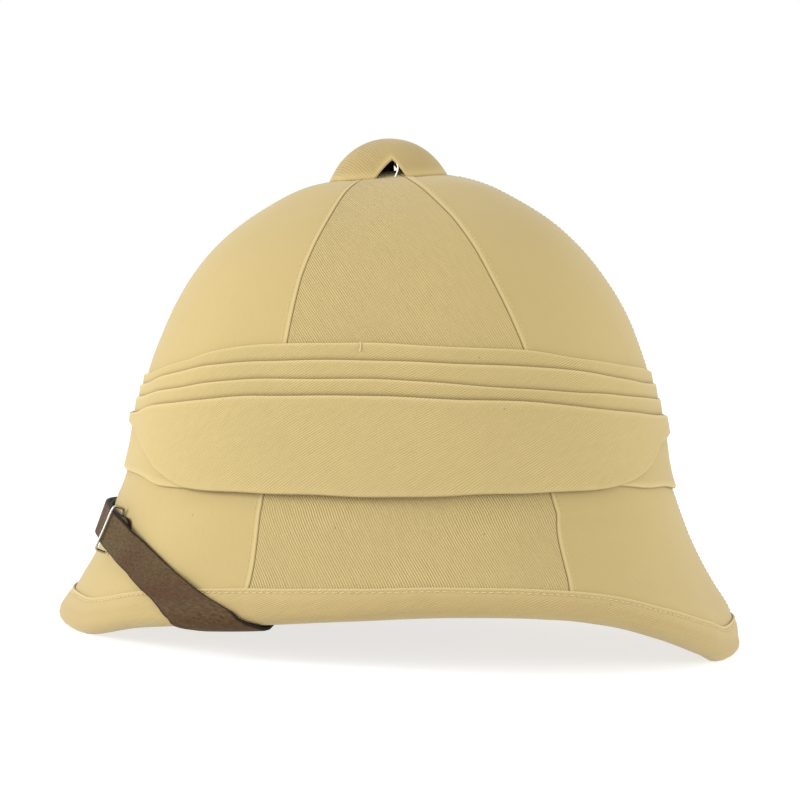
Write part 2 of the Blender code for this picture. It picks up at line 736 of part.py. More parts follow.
def strap_knots():
    """Knots an even step apart along the route, and closer together round the edge."""
    dense = np.linspace(0, len(STRAP_ROUTE) - 1, ROUTE_SAMPLES)
    places = [route_place(knot) for knot in dense]
    points = np.array([brim_place(*place, 0.0) for place in places])
    steps = np.linalg.norm(np.diff(points, axis=0), axis=1)
    for index, (_, distance) in enumerate(places[1:]):
        steps[index] *= 1 + TURN_DETAIL * (abs(distance) < TURN_ZONE)
    lengths = np.concatenate(([0.0], np.cumsum(steps)))
    count = int(round(lengths[-1] / STRAP_STEP))
    return [float(np.interp(lengths[-1] * index / count, lengths, dense)) for index in range(count + 1)]


def strap_lift(azimuth, distance, layer):
    """How far the strap's under side lies off the shell: over the binding, the wire or the other half."""
    spare = 2 * CLEARANCE
    if distance < 0:
        on_binding = ease((distance + BINDING_OUTSIDE + 2 * BINDING_RAMP) / BINDING_RAMP)
    else:
        on_binding = 1 - ease((distance - BINDING_INSIDE - BINDING_RAMP) / BINDING_RAMP)
    lift = spare + COVER * on_binding
    from_wire, wire_fade = WIRE_RAMP
    over_wire = 1 - ease((abs(abs(azimuth) - SLIDE_AZIMUTH) - from_wire) / wire_fade)
    lift = max(lift, spare + 2 * SLIDE_WIRE * over_wire)
    if layer == 1:
        from_end, lap_fade = LAP_RAMP
        past_end = azimuth + STRAP_ROUTE[0][0] - from_end
        lift += (STRAP_THICKNESS + CLEARANCE) * (1 - ease(past_end / lap_fade))
    return lift


def mirrored(point, side):
    """The point itself on the wearer's left, side 1, or its mirror image on the right, side -1."""
    return np.array((point[0] * side, point[1], point[2]))


def strap_point(knot_frame, across, layer, above):
    """A point of the strap or over it: above counts from its under side."""
    azimuth, distance, shares, _ = knot_frame
    azimuth += shares[0] * across
    distance += shares[1] * across
    return brim_place(azimuth, distance, strap_lift(azimuth, distance, layer) + above)


def build_strap(name, side, layer, holes):
    """Half of the chin strap. Layer 1 lies over layer 0 where the two halves overlap."""
    half = STRAP_WIDTH / 2
    section = [(across, STRAP_THICKNESS) for across in (-half, 0, half)]
    section += [(across, 0) for across in (half, 0, -half)]
    loops = []
    for knot in strap_knots():
        knot_frame = strap_frame(knot)
        points = [strap_point(knot_frame, across, layer, above) for across, above in section]
        loops.append([mirrored(point, side) for point in points])
    strap = finish_mesh(name, lattice(loops, False), BROWN_LEATHER, LEATHER_ROUGHNESS)
    cut_with(strap, holes)
    return strap


def slide_knot():
    """The knot where the route passes the slide."""
    knots = np.arange(0, len(STRAP_ROUTE) / 2, KNOT_STEP)
    azimuths = [route_place(knot)[0] for knot in knots]
    return float(np.interp(SLIDE_AZIMUTH, azimuths, knots))


def build_slide(name, side):
    """A wire loop round both halves of the strap."""
    knot_frame = strap_frame(slide_knot())
    azimuth, distance, shares, tangent = knot_frame
    low = CLEARANCE + SLIDE_WIRE
    high = strap_lift(azimuth, distance, 1) + STRAP_THICKNESS + 2 * CLEARANCE + SLIDE_WIRE
    half = SLIDE_WIDTH / 2
    stops = (-half, -half / 2, 0, half / 2, half)
    path = [(across, low) for across in stops] + [(across, high) for across in reversed(stops)]
    centres = [brim_place(azimuth + shares[0] * across, distance + shares[1] * across, offset)
               for across, offset in path]
    loops = []
    for index, centre in enumerate(centres):
        ahead = centres[(index + 1) % len(centres)] - centre
        behind = centre - centres[index - 1]
        way = ahead / np.linalg.norm(ahead) + behind / np.linalg.norm(behind)
        way = way / np.linalg.norm(way)
        outward = np.cross(way, tangent)
        outward = outward / np.linalg.norm(outward)
        forward = np.cross(outward, way)
        loop = []
        for corner in range(WIRE_SIDES):
            angle = 2 * math.pi * corner / WIRE_SIDES
            aside = math.cos(angle) * outward + math.sin(angle) * forward
            loop.append(mirrored(centre + SLIDE_WIRE * aside, side))
        loops.append(loop)
    return finish_mesh(name, lattice(loops, True), NICKEL, METAL_ROUGHNESS, 1.0)


def stud_frame(side):
    """Where a stud stands on the shell's inner face, with its axis out of that face."""
    azimuth, distance = route_place(STUD_KNOT)
    row = row_from_tip(azimuth, distance)
    axis = normal_of(shell_surface, azimuth, row)
    return axis_frame(mirrored(shell_surface(azimuth, row), side), mirrored(axis, side), (0.0, 0.0, 1.0))


def head_seat():
    """The height of a stud's head over the shell: just off the strap's face."""
    azimuth, distance = route_place(STUD_KNOT)
    return strap_lift(azimuth, distance, 0) + STRAP_THICKNESS + CLEARANCE


def build_stud(name, side):
    """The domed stud that holds an end of the strap inside the brim."""
    seat = head_seat()
    profile = [(0, -SHANK_DEPTH), (SHANK_RADIUS, -SHANK_DEPTH), (SHANK_RADIUS, seat)]
    profile += [(STUD_RADIUS * reach, seat + STUD_HEAD * rise) for reach, rise in STUD_HEAD_PROFILE]
    return finish_mesh(name, turned(profile, STUD_SIDES, stud_frame(side)), NICKEL, METAL_ROUGHNESS, 1.0)


def stud_hole(name, side):
    """A cutter for the stud's hole through the strap and into the shell."""
    radius = SHANK_RADIUS + CLEARANCE
    low = -SHANK_DEPTH - CLEARANCE
    high = head_seat() + CLEARANCE
    profile = [(0, low), (radius, low), (radius, high), (0, high)]
    return finish_mesh(name, turned(profile, STUD_SIDES, stud_frame(side)), NICKEL, METAL_ROUGHNESS)


def main():
    """Builds the whole helmet."""
    for obj in list(bpy.data.objects):
        bpy.data.objects.remove(obj)
    shell = build_shell()
    build_binding()
    build_pleats()
    build_wrap()
    build_cap()
    build_post()
    for layer, side, word in ((1, 1, "left"), (0, -1, "right")):
        hole = stud_hole("guide_stud_hole_" + word, side)
        cut_with(shell, hole)
        build_strap("chin_strap_" + word, side, layer, hole)
        build_slide("strap_slide_" + word, side)
        build_stud("strap_stud_" + word, side)


main()
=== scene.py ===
import math

import bmesh
import bpy
import numpy as np
from mathutils import Matrix, Vector


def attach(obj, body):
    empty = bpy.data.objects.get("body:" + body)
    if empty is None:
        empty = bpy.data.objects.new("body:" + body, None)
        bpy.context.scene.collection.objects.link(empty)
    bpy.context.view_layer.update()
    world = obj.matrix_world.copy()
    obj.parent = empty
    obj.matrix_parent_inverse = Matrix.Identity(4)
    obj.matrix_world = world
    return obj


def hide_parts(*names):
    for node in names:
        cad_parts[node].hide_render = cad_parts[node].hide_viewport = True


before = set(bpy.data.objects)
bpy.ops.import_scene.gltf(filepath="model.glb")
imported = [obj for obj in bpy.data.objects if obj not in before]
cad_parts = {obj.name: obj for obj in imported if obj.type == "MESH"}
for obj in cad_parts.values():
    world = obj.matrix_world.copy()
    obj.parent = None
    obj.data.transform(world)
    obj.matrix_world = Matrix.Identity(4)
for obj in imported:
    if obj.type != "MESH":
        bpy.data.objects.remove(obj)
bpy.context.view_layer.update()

# The helmet stands on the plane Z = 0, with its front towards -Y and its wearer's left towards +X.
# Lengths are in metres, and the sizes and tables of the form are those of the solids.
BRIM_LENGTH = 0.320
BRIM_WIDTH = 0.258
BRIM_WALL = 0.0085
SIDE_RISE = 0.0253
EDGE_SLOPE = math.radians(63)
EDGE_SQUARENESS = 2.6
CROWN_LENGTH = 0.2596
CROWN_WIDTH = 0.2136
CROWN_MIDDLE = -0.0022
CROWN_WALL = 0.006
BASE_HEIGHT = 0.0683
CROWN_RISE = 0.1488
WALL_GROWS_FROM = -2
WALL_GROWS_OVER = 5

CLEARANCE = 0.0003
BINDING_THICKNESS = 0.001
BINDING_OUTSIDE = 0.0175
BINDING_INSIDE = 0.013
REST_FLAT = 0.0006

PUGGAREE_BOTTOM = 0.0726
PUGGAREE_DEPTH = 0.066
PLEAT_WALL = 0.001
PLEAT_STEP = 0.0005
WRAP_WALL = 0.0012
WRAP_EASE = 0.0005

VENT_HOLE_RADIUS = 0.009
CAP_RADIUS = 0.0272
CAP_HEIGHT = 0.0152
CAP_WALL = 0.0018
RIM_SLOPE = math.radians(66)
ARCH_PEAK = 0.0030
ARCH_FRONT = 0.0092
ARCH_BACK = 0.0058
ARCH_HEIGHT = 0.0088
ARCH_BULGE = 0.55

STRAP_WIDTH = 0.016
STRAP_THICKNESS = 0.0018
SLIDE_WIRE = 0.00065
SLIDE_WIDTH = 0.0226
SLIDE_AZIMUTH = 21.0
BINDING_RAMP = 0.005
WIRE_RAMP = (1.5, 6.0)
LAP_RAMP = (2.0, 7.0)
STUD_KNOT = 13
STUD_RADIUS = 0.0045
STUD_HEAD = 0.0015
SHANK_RADIUS = 0.0015
SHANK_DEPTH = 0.004
TURN_ZONE = 0.013
TURN_FADE = 0.0195

CROWN_SECTIONS = (  # front, front height, back, back height, side
    (0.103, 1.000, -0.103, 1.000, 0.000),
    (0.203, 0.985, -0.002, 1.004, 0.108),
    (0.303, 0.957, 0.102, 0.997, 0.216),
    (0.395, 0.934, 0.210, 0.983, 0.308),
    (0.484, 0.894, 0.314, 0.952, 0.408),
    (0.606, 0.820, 0.478, 0.876, 0.566),
    (0.706, 0.740, 0.600, 0.790, 0.690),
    (0.785, 0.650, 0.695, 0.696, 0.776),
    (0.847, 0.550, 0.772, 0.597, 0.835),
    (0.892, 0.450, 0.830, 0.492, 0.878),
    (0.928, 0.350, 0.879, 0.378, 0.908),
    (0.957, 0.220, 0.925, 0.232, 0.943),
    (0.976, 0.095, 0.955, 0.105, 0.970),
    (1.000, 0.000, 1.000, 0.000, 1.000),
)
BRIM_SECTIONS = (  # drop, front out, side out, back out
    (0.133, 0.115, 0.113, 0.111),
    (0.283, 0.218, 0.235, 0.248),
    (0.450, 0.344, 0.385, 0.431),
    (0.615, 0.504, 0.570, 0.641),
    (0.762, 0.691, 0.768, 0.850),
    (0.890, 0.847, 0.905, 0.961),
    (1.000, 1.000, 1.000, 1.000),
)
EDGE_LIFT = (  # azimuth, lift
    (0, 0.00), (21, 0.00), (43, 0.37), (54, 0.52), (67, 0.66), (82, 0.84), (98, 0.98),
    (107, 1.00), (116, 0.97), (126, 0.85), (137, 0.60), (152, 0.20), (161, 0.00), (180, 0.00),
)
BORDER_INSET = (  # azimuth, and how many mm narrower the binding's outside is there
    (0, 0.5), (62, 0.9), (80, 3.0), (97, 4.7), (118, 5.0), (135, 4.5), (160, 1.9), (180, 1.0),
)
PUGGAREE_COLUMNS = ("azimuth", "top", "pleat_1", "pleat_2", "wrap_top", "wrap_bottom", "under_bottom")
PUGGAREE_LINES = (
    (0, 0.665, 0.590, 0.503, 0.390, 0.330, -0.006),
    (15, 0.695, 0.615, 0.530, 0.408, 0.300, 0.000),
    (25, 0.747, 0.680, 0.576, 0.471, 0.168, -0.014),
    (35, 0.812, 0.732, 0.618, 0.510, 0.022, -0.050),
    (44, 0.885, 0.789, 0.665, 0.552, -0.052, -0.045),
    (60, 0.956, 0.843, 0.722, 0.607, -0.031, 0.000),
    (90, 1.000, 0.888, 0.763, 0.652, 0.000, 0.030),
    (115, 1.000, 0.887, 0.740, 0.650, 0.053, 0.080),
    (135, 0.948, 0.861, 0.719, 0.614, 0.081, 0.105),
    (150, 0.912, 0.815, 0.695, 0.583, 0.190, 0.081),
    (162, 0.889, 0.783, 0.678, 0.561, 0.371, 0.066),
    (180, 0.848, 0.768, 0.661, 0.538, 0.425, 0.030),
)
STRAP_ROUTE = (  # azimuth, and share of the brim's slope: 0 is the tip of the edge, 1 the base ring inside
    (-28, -0.66), (-10, -0.705), (10, -0.715), (22, -0.67), (31, -0.57), (39, -0.445), (47, -0.29),
    (53, -0.165), (58, -0.06), (63, 0.06), (68, 0.27), (73.5, 0.56), (78, 0.80), (81, 0.98), (82, 1.08),
)
SEAM_LINES = (  # the form's row, and the azimuths there of the two seams on a side
    (0, 68.0, 101.0), (3, 66.0, 104.5), (4, 65.4, 107.8), (5, 64.9, 110.7), (6, 64.4, 113.0),
    (7, 63.9, 114.8), (8, 64.0, 116.9), (9, 64.0, 119.0), (13, 62.4, 121.5), (16, 63.1, 119.0),
    (18, 63.8, 117.2), (20, 64.0, 116.5), (34, 64.0, 116.5),
)

# Fine forms that the solids leave out.
UNEVEN = 0.00022
SEAM_GROOVE = 0.00035
SEAM_HALF = 0.0003
# How dark a seam's groove is painted: painted shade, with some soil.
SEAM_SHADE_AND_SOIL = 0.75
SEAM_ROOM = 0.42  # the most of a narrow gore's width that the points near one seam take
AFTER_SEAM = (0.0, 0.00025, 0.0005, 0.0009, 0.0024, 0.003, 0.0036, 0.005)
GORE_LAPS = ((0, 1), (0, 0), (1, 1), (0, 1), (0, 0), (1, 1))  # does a gore lap its neighbours: start, end
LAP_RISE = 0.00016
LAP_WIDTH = 0.003
LAP_FALL = 0.0012
LIP_IN = 0.0011  # the rubbed border of a lap, painted pale, partly as a highlight
LIP_HALF = 0.0006
STITCH_LINE = 0.0019  # below the binding's top edge
STITCH_PITCH = 0.0031
STITCH_LENGTH = 0.0024
STITCH_SINK = 0.00025
THREAD_RADIUS = 0.00022
SEAM_THREAD = 0.00013
SEAM_STITCH_IN = 0.0026
SEAM_STITCH_PITCH = 0.0022
SEAM_STITCH_SHARE = 0.62  # of the pitch that a stitch takes
PUCKER = 0.00012
PUCKER_LINE = -15.6  # mm from the tip of the edge
BINDING_SWAY = 0.0003
BINDING_SLACK = 0.00016
PLEAT_SWAY = 0.0003
HEM_SWAY = 0.0004
PLEAT_SWELL = 0.00015
PLEAT_FALL = 0.0003
WRAP_SLACK = 0.00022
COVER_LIP = 0.00035
COVER_PULL = math.radians(35)
STRAP_BEVEL = 0.00055
STRAP_CROWN = 0.00012
SLIDE_SQUARENESS = 0.32

GORE_RIBS = (0.06, 1.5, 0.10, 0.10, 1.5, 0.06)  # the pressed cloth shows its weave best on the side gores
RIBS_FADE = 0.65  # how much of it is lost toward the back of the crown

# The camera that sees the helmet as the photograph does.
CAMERA_TARGET = (0.0, -0.0048, 0.1101)
CAMERA_DISTANCE = 1.2
CAMERA_ELEVATION = math.radians(2.7)
CAMERA_ROLL = math.radians(2.71)
VIEW_WIDTH = 0.37648  # what the picture spans at the target
SENSOR_WIDTH = 36.0


def hermite(t, start, end, start_slope, end_slope):
    """A cubic from start to end that leaves and arrives with the slopes."""
    first = (1 + 2 * t) * (1 - t) ** 2 * start + t * (1 - t) ** 2 * start_slope
    return first + t * t * (3 - 2 * t) * end + t * t * (t - 1) * end_slope


def smooth_rows(sections, row):
    """Smooth curves through sections one row apart, of shape (..., sections, 3), at one row of each."""
    low = np.clip(np.floor(row).astype(int), 0, sections.shape[-2] - 2)
    slopes = np.gradient(sections, axis=-2)
    ends = [np.take_along_axis(table, (low + step)[..., None, None], axis=-2)[..., 0, :]
            for table in (sections, slopes) for step in (0, 1)]
    return hermite((row - low)[..., None], *ends)


def level_curve(table, column, azimuth):
    """A table's column over the azimuth of either side, level at the front, at the back and at its peaks."""
    knots = np.array([row[0] for row in table], dtype=float)
    values = np.array([row[column] for row in table], dtype=float)
    rates = np.diff(values) / np.diff(knots)
    before, after = rates[:-1], rates[1:]
    rising = before * after > 0
    slopes = np.zeros(len(values))
    slopes[1:-1][rising] = 2 * before[rising] * after[rising] / (before[rising] + after[rising])
    azimuth = from_front(np.asarray(azimuth, dtype=float))
    step = np.clip(np.searchsorted(knots, azimuth) - 1, 0, len(knots) - 2)
    span = knots[step + 1] - knots[step]
    t = (azimuth - knots[step]) / span
    return hermite(t, values[step], values[step + 1], span * slopes[step], span * slopes[step + 1])


def from_front(azimuth):
    """How many degrees an azimuth lies from the front, on either side."""
    return np.abs((azimuth + 180) % 360 - 180)


def ease(share):
    share = np.clip(share, 0.0, 1.0)
    return share * share * (3 - 2 * share)


def catmull(before, near, far, after, t):
    """A smooth way from near to far, given the values before and after them."""
    bend = (2 * before - 5 * near + 4 * far - after) * t ** 2 + (3 * near - before - 3 * far + after) * t ** 3
    return near + ((far - before) * t + bend) / 2


def unit(vectors):
    return vectors / np.linalg.norm(vectors, axis=-1, keepdims=True)


def path_lengths(points, axis):
    """How far each point lies along the path of its row or column."""
    steps = np.linalg.norm(np.diff(points, axis=axis), axis=-1)
    start = np.zeros_like(np.take(steps, [0], axis=axis))
    return np.concatenate((start, np.cumsum(steps, axis=axis)), axis=axis)


def edge_offset(turn):
    """A point of the rounded edge from the edge's middle: how far out and up, as turn goes 0 to 180."""
    turn = math.radians(turn)
    power = 2 / EDGE_SQUARENESS
    across = math.copysign(abs(math.cos(turn)) ** power, math.cos(turn)) * BRIM_WALL / 2
    beyond = abs(math.sin(turn)) ** power * BRIM_WALL / 2
    out = across * math.sin(EDGE_SLOPE) + beyond * math.cos(EDGE_SLOPE)
    up = across * math.cos(EDGE_SLOPE) - beyond * math.sin(EDGE_SLOPE)
    return out, up


EDGE_TURNS = (36, 72, 108, 144)
EDGE_SAMPLES = [edge_offset(turn) for turn in range(0, 181, 3)]
COVER = CLEARANCE + BINDING_THICKNESS
EDGE_INSET = max(out for out, up in EDGE_SAMPLES) + COVER
EDGE_CENTRE = -min(up for out, up in EDGE_SAMPLES) + COVER - REST_FLAT
BASE_ROW = len(CROWN_SECTIONS) - 1
END_ROW = BASE_ROW + len(BRIM_SECTIONS)
TIP_ROW = END_ROW + (len(EDGE_TURNS) + 1) / 2
TURNED_ROW = END_ROW + len(EDGE_TURNS) + 1
INNER_ROWS = (END_ROW - 1, END_ROW - 3, END_ROW - 5, BASE_ROW, 10, 7, 4, 2)
LAST_ROW = TURNED_ROW + len(INNER_ROWS)
INNER_BASE_ROW = TURNED_ROW + 1 + INNER_ROWS.index(BASE_ROW)
HOLE_ROW = VENT_HOLE_RADIUS / (CROWN_SECTIONS[1][4] * CROWN_WIDTH / 2)


def edge_reach(turn):
    out = edge_offset(turn)[0] - EDGE_INSET
    return BRIM_LENGTH / 2 + out, BRIM_LENGTH / 2 + out, BRIM_WIDTH / 2 + out


def edge_height(azimuth, turn):
    return EDGE_CENTRE + SIDE_RISE * level_curve(EDGE_LIFT, 1, azimuth) + edge_offset(turn)[1]


def ring(azimuth, front, back, side, height):
    angle = np.radians(azimuth)
    y = (back - front) / 2 - (back + front) / 2 * np.cos(angle)
    return np.stack((side * np.sin(angle), y, np.broadcast_to(height, angle.shape)), axis=-1)


def outer_sections(azimuth):
    """The outer skin's sections at each azimuth, from the top to the edge."""
    toward_back = (1 - np.cos(np.radians(azimuth))) / 2
    rings = []
    for front, front_height, back, back_height, side in CROWN_SECTIONS:
        share = front_height + (back_height - front_height) * toward_back
        reach = (front * CROWN_LENGTH / 2 - CROWN_MIDDLE, back * CROWN_LENGTH / 2 + CROWN_MIDDLE)
        rings.append(ring(azimuth, *reach, side * CROWN_WIDTH / 2, BASE_HEIGHT + CROWN_RISE * share))
    base = (CROWN_LENGTH / 2 - CROWN_MIDDLE, CROWN_LENGTH / 2 + CROWN_MIDDLE, CROWN_WIDTH / 2)
    drop_total = BASE_HEIGHT - edge_height(azimuth, 0)
    for drop, front_out, side_out, back_out in BRIM_SECTIONS:
        shares = (front_out, back_out, side_out)
        reach = [near + (far - near) * share for near, far, share in zip(base, edge_reach(0), shares)]
        rings.append(ring(azimuth, *reach, BASE_HEIGHT - drop * drop_total))
    return np.stack(rings, axis=-2)


def outer_normal(azimuth, row):
    row = np.full(azimuth.shape, float(row))
    ahead, behind = (smooth_rows(outer_sections(azimuth + step), row) for step in (0.5, -0.5))
    round_way = ahead - behind
    sections = outer_sections(azimuth)
    down_way = smooth_rows(sections, row + 0.2) - smooth_rows(sections, row - 0.2)
    return unit(np.cross(down_way, round_way))


def wall_thickness(row):
    share = float(ease((row - BASE_ROW - WALL_GROWS_FROM) / WALL_GROWS_OVER))
    return CROWN_WALL + (BRIM_WALL - CROWN_WALL) * share


def wall_sections():
    """The shell's whole section at each whole degree: down the outside, round the edge, up the inside."""
    azimuth = np.arange(360.0)
    outer = outer_sections(azimuth)
    rows = [outer[:, index] for index in range(outer.shape[1])]
    for turn in EDGE_TURNS + (180,):
        rows.append(ring(azimuth, *edge_reach(turn), edge_height(azimuth, turn)))
    for row in INNER_ROWS:
        skin = smooth_rows(outer, np.full(360, float(row)))
        rows.append(skin - wall_thickness(row) * outer_normal(azimuth, row))
    return np.stack(rows, axis=1)


def uneven_sections(sections):
    """The same with the slight unevenness of a hand-made helmet, which fades out at the edge and the top."""
    waves = np.random.default_rng(7).uniform(0, 2 * math.pi, 12)
    azimuth = np.radians(np.arange(360.0))[:, None]
    row = np.arange(sections.shape[1], dtype=float)[None, :]
    mirrored_row = np.where(row > TIP_ROW, 2 * TIP_ROW - row, row)
    swell = np.zeros((360, sections.shape[1]))
    for index, turns in enumerate((2, 3, 5, 7, 11, 13)):
        down = 0.35 + 0.11 * index
        swell += np.cos(turns * azimuth + waves[index]) * np.cos(down * mirrored_row + waves[index + 6]) / 2
    fade = ease((END_ROW - 1 - mirrored_row) / 5) * ease(mirrored_row / 3)
    middle = np.array((0.0, CROWN_MIDDLE, 0.0))
    outward = sections - middle
    outward[..., 2] *= 0.5
    return sections + UNEVEN * (swell * fade)[..., None] * unit(outward)


WALL = uneven_sections(wall_sections())


def wall(azimuth, row):
    """Points of the moulded wall at any azimuths and rows."""
    azimuth, row = np.broadcast_arrays(np.asarray(azimuth, dtype=float), np.asarray(row, dtype=float))
    degree = np.floor(azimuth).astype(int)
    t = (azimuth - degree)[..., None]
    before, near, far, after = (smooth_rows(WALL[(degree + step) % 360], row) for step in (-1, 0, 1, 2))
    return catmull(before, near, far, after, t)


def wall_normal(azimuth, row):
    round_way = wall(azimuth + 0.5, row) - wall(azimuth - 0.5, row)
    down_way = wall(azimuth, row + 0.2) - wall(azimuth, row - 0.2)
    return unit(np.cross(down_way, round_way))


def over_wall(azimuth, row, offset):
    azimuth, row, offset = np.broadcast_arrays(azimuth, row, offset)
    return wall(azimuth, row) + offset[..., None] * wall_normal(azimuth, row)


def pick_last(table, index):
    """For each entry, the value that its index picks from the table's last axis."""
    return np.take_along_axis(table, index[..., None], -1)[..., 0]


def row_finder(rows, measure):
    """A function that gives the row where a measure of the wall, which rises with the row, has a value."""
    degrees = np.arange(360.0)[:, None]
    table = measure(wall(degrees, rows[None, :]))

    def on_degree(degree, value):
        """The row at whole degrees, read from a parabola through the three nearest entries."""
        lines = table[degree % 360]
        step = np.clip((lines < value[..., None]).sum(axis=-1), 1, len(rows) - 2)
        low, middle, high = (pick_last(lines, step + near) for near in (-1, 0, 1))
        from_low, from_middle, from_high = value - low, value - middle, value - high
        share = from_low * from_high / ((middle - low) * (middle - high))
        share = share + 2 * from_low * from_middle / ((high - low) * (high - middle))
        return rows[step] + (share - 1) * (rows[1] - rows[0])

    def find(azimuth, value):
        azimuth, value = np.broadcast_arrays(np.asarray(azimuth, float), np.asarray(value, float))
        degree = np.floor(azimuth).astype(int)
        t = azimuth - degree
        before, near, far, after = (on_degree(degree + step, value) for step in (-1, 0, 1, 2))
        return catmull(before, near, far, after, t)

    return find


def distance_from_tip(points):
    """How far each point of the brim's sections lies from the tip of the edge, negative outside."""
    lengths = path_lengths(points, 1)
    return lengths - np.array([np.interp(TIP_ROW, SLOPE_ROWS, line) for line in lengths])[:, None]


SLOPE_ROWS = np.arange(BASE_ROW - 1, INNER_BASE_ROW + 1.001, 0.125)
SLOPE_LENGTHS = distance_from_tip(wall(np.arange(360.0)[:, None], SLOPE_ROWS[None, :]))
row_at_distance = row_finder(SLOPE_ROWS, distance_from_tip)
row_at_drop = row_finder(np.arange(BASE_ROW - 5, BASE_ROW + 3.001, 0.1), lambda points: -points[..., 2])


def on_brim(azimuth, distance, offset):
    """Points off the brim at distances from the tip of its edge."""
    azimuth, distance, offset = np.broadcast_arrays(azimuth, distance, offset)
    return over_wall(azimuth, row_at_distance(azimuth, distance), offset)


def axis_frame(origin, axis, first):
    """A function that places points (x along first, y across it, z along the axis)."""
    axis = unit(np.array(axis, dtype=float))
    first = unit(np.array(first, dtype=float) - np.dot(first, axis) * axis)
    second = np.cross(axis, first)

    def place(x, y, z):
        x, y, z = np.broadcast_arrays(np.asarray(x, float), np.asarray(y, float), np.asarray(z, float))
        return np.array(origin) + x[..., None] * first + y[..., None] * second + z[..., None] * axis

    return place


def cloth_lengths(points, even=False):
    """Where each point of a grid of cloth lies on the flat cloth: across from its middle column, and down.

    Even cloth is as deep in all its columns as in the middle one, and other cloth in each as it measures."""
    middle = points.shape[1] // 2
    across = path_lengths(points, 1)
    across = across - across[:, middle][:, None]
    down = path_lengths(points, 0)
    if even:
        down = np.broadcast_to(down[:, middle][:, None], down.shape)
    return np.stack((across, down), axis=-1)


def make_piece(name, panels, finish, caps=(), ribs=None):
    """One mesh from grids of points. A panel is (points, cloth places, marks), and its cells are quads. Marks
    above 0 are rubbed wear, partly a painted highlight, and marks below 0 painted shade with some dirt.

    Panels that meet are welded. A cap is a ring of points that closes an open end. Ribs says for each
    panel how plainly its weave shows."""
    points, faces, places, wear_and_painted_light, weave = [], [], [], [], []
    ribs = ribs or [1.0] * len(panels)
    for (grid, cloth, marks_of_wear_and_light), rib in zip(panels, ribs):
        rows, columns = grid.shape[:2]
        index = np.arange(rows * columns).reshape(rows, columns) + sum(len(part) for part in points)
        corners = (index[:-1, :-1], index[1:, :-1], index[1:, 1:], index[:-1, 1:])
        quads = np.stack(corners, axis=-1).reshape(-1, 4)
        flat = cloth.reshape(-1, 2)
        points.append(grid.reshape(-1, 3))
        places.append(flat[quads.ravel() - index[0, 0]])
        faces += quads.tolist()
        wear_and_painted_light.append(np.broadcast_to(marks_of_wear_and_light, (rows, columns)).ravel())
        weave.append(np.broadcast_to(rib, (rows, columns)).ravel())
    for cap in caps:
        start = sum(len(part) for part in points)
        points.append(cap)
        faces.append(list(range(start, start + len(cap))))
        places.append(np.zeros((len(cap), 2)))
        wear_and_painted_light.append(np.zeros(len(cap)))
        weave.append(np.ones(len(cap)))
    mesh = bpy.data.meshes.new(name)
    mesh.from_pydata(np.concatenate(points).tolist(), [], faces)
    flat_places = np.concatenate(places).astype(np.float32).ravel()
    mesh.uv_layers.new(name="cloth").uv.foreach_set("vector", flat_places)
    # The marks are wear and painted light: pale rubbed edges with a painted highlight, and painted shade.
    for attribute, parts in (("wear_and_painted_light", wear_and_painted_light), ("ribs", weave)):
        values = np.concatenate(parts).astype(np.float32)
        mesh.attributes.new(attribute, "FLOAT", "POINT").data.foreach_set("value", values)
    weld = bmesh.new()
    weld.from_mesh(mesh)
    bmesh.ops.remove_doubles(weld, verts=weld.verts, dist=1e-6)
    bmesh.ops.dissolve_degenerate(weld, edges=weld.edges, dist=1e-7)
    bmesh.ops.recalc_face_normals(weld, faces=weld.faces)
    weld.to_mesh(mesh)
    weld.free()
    mesh.shade_smooth()
    mesh.materials.append(finish)
    piece = bpy.data.objects.new(name, mesh)
    bpy.context.scene.collection.objects.link(piece)
    return piece


def place_piece(piece, slot, *nodes):
    """The piece rides with the helmet and stands for its solids."""
    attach(piece, "root")
    if nodes:
        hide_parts(*nodes)
    return piece


def seam_azimuths(rows):
    """The azimuths of the seams that bound the gores, a column for each, at each row."""
    table = np.array(SEAM_LINES)
    front, back = (np.interp(rows, table[:, 0], table[:, column]) for column in (1, 2))
    zero = np.zeros(len(rows))
    return np.stack((zero, front, back, zero + 180, 360 - back, 360 - front, zero + 360), axis=-1)


def gore_width(rows, low, high):
    """How wide the wall is between two azimuths at each row, in metres."""
    middle = wall((low + high) / 2, rows)
    radius = np.hypot(middle[:, 0], middle[:, 1] - CROWN_MIDDLE)
    return np.radians(high - low) * np.maximum(radius, VENT_HOLE_RADIUS)


def gore_panels(rows, gore_columns, relief):
    """The grids of the six gores over given rows of the wall."""
    seams = seam_azimuths(rows)
    near_seam = np.array(AFTER_SEAM)
    panels = []
    for gore, laps in enumerate(GORE_LAPS):
        low, high = seams[:, gore], seams[:, gore + 1]
        width = gore_width(rows, low, high)[:, None]
        room = np.minimum(1.0, SEAM_ROOM * width / near_seam[-1])
        starts = near_seam[None, :] * room
        ends = width - near_seam[None, ::-1] * room
        shares = np.linspace(0, 1, gore_columns + 2)[None, 1:-1]
        between = starts[:, -1:] + (ends[:, :1] - starts[:, -1:]) * shares
        along = np.concatenate((starts, between, ends), axis=1)
        azimuth = low[:, None] + (high - low)[:, None] * along / width
        row = np.broadcast_to(rows[:, None], azimuth.shape)
        offset, wear_and_painted_light = seam_relief(along, width - along, laps)
        grid = over_wall(azimuth, row, relief[:, None] * offset)
        panels.append((grid, cloth_lengths(grid, even=True), relief[:, None] * wear_and_painted_light))
    return panels


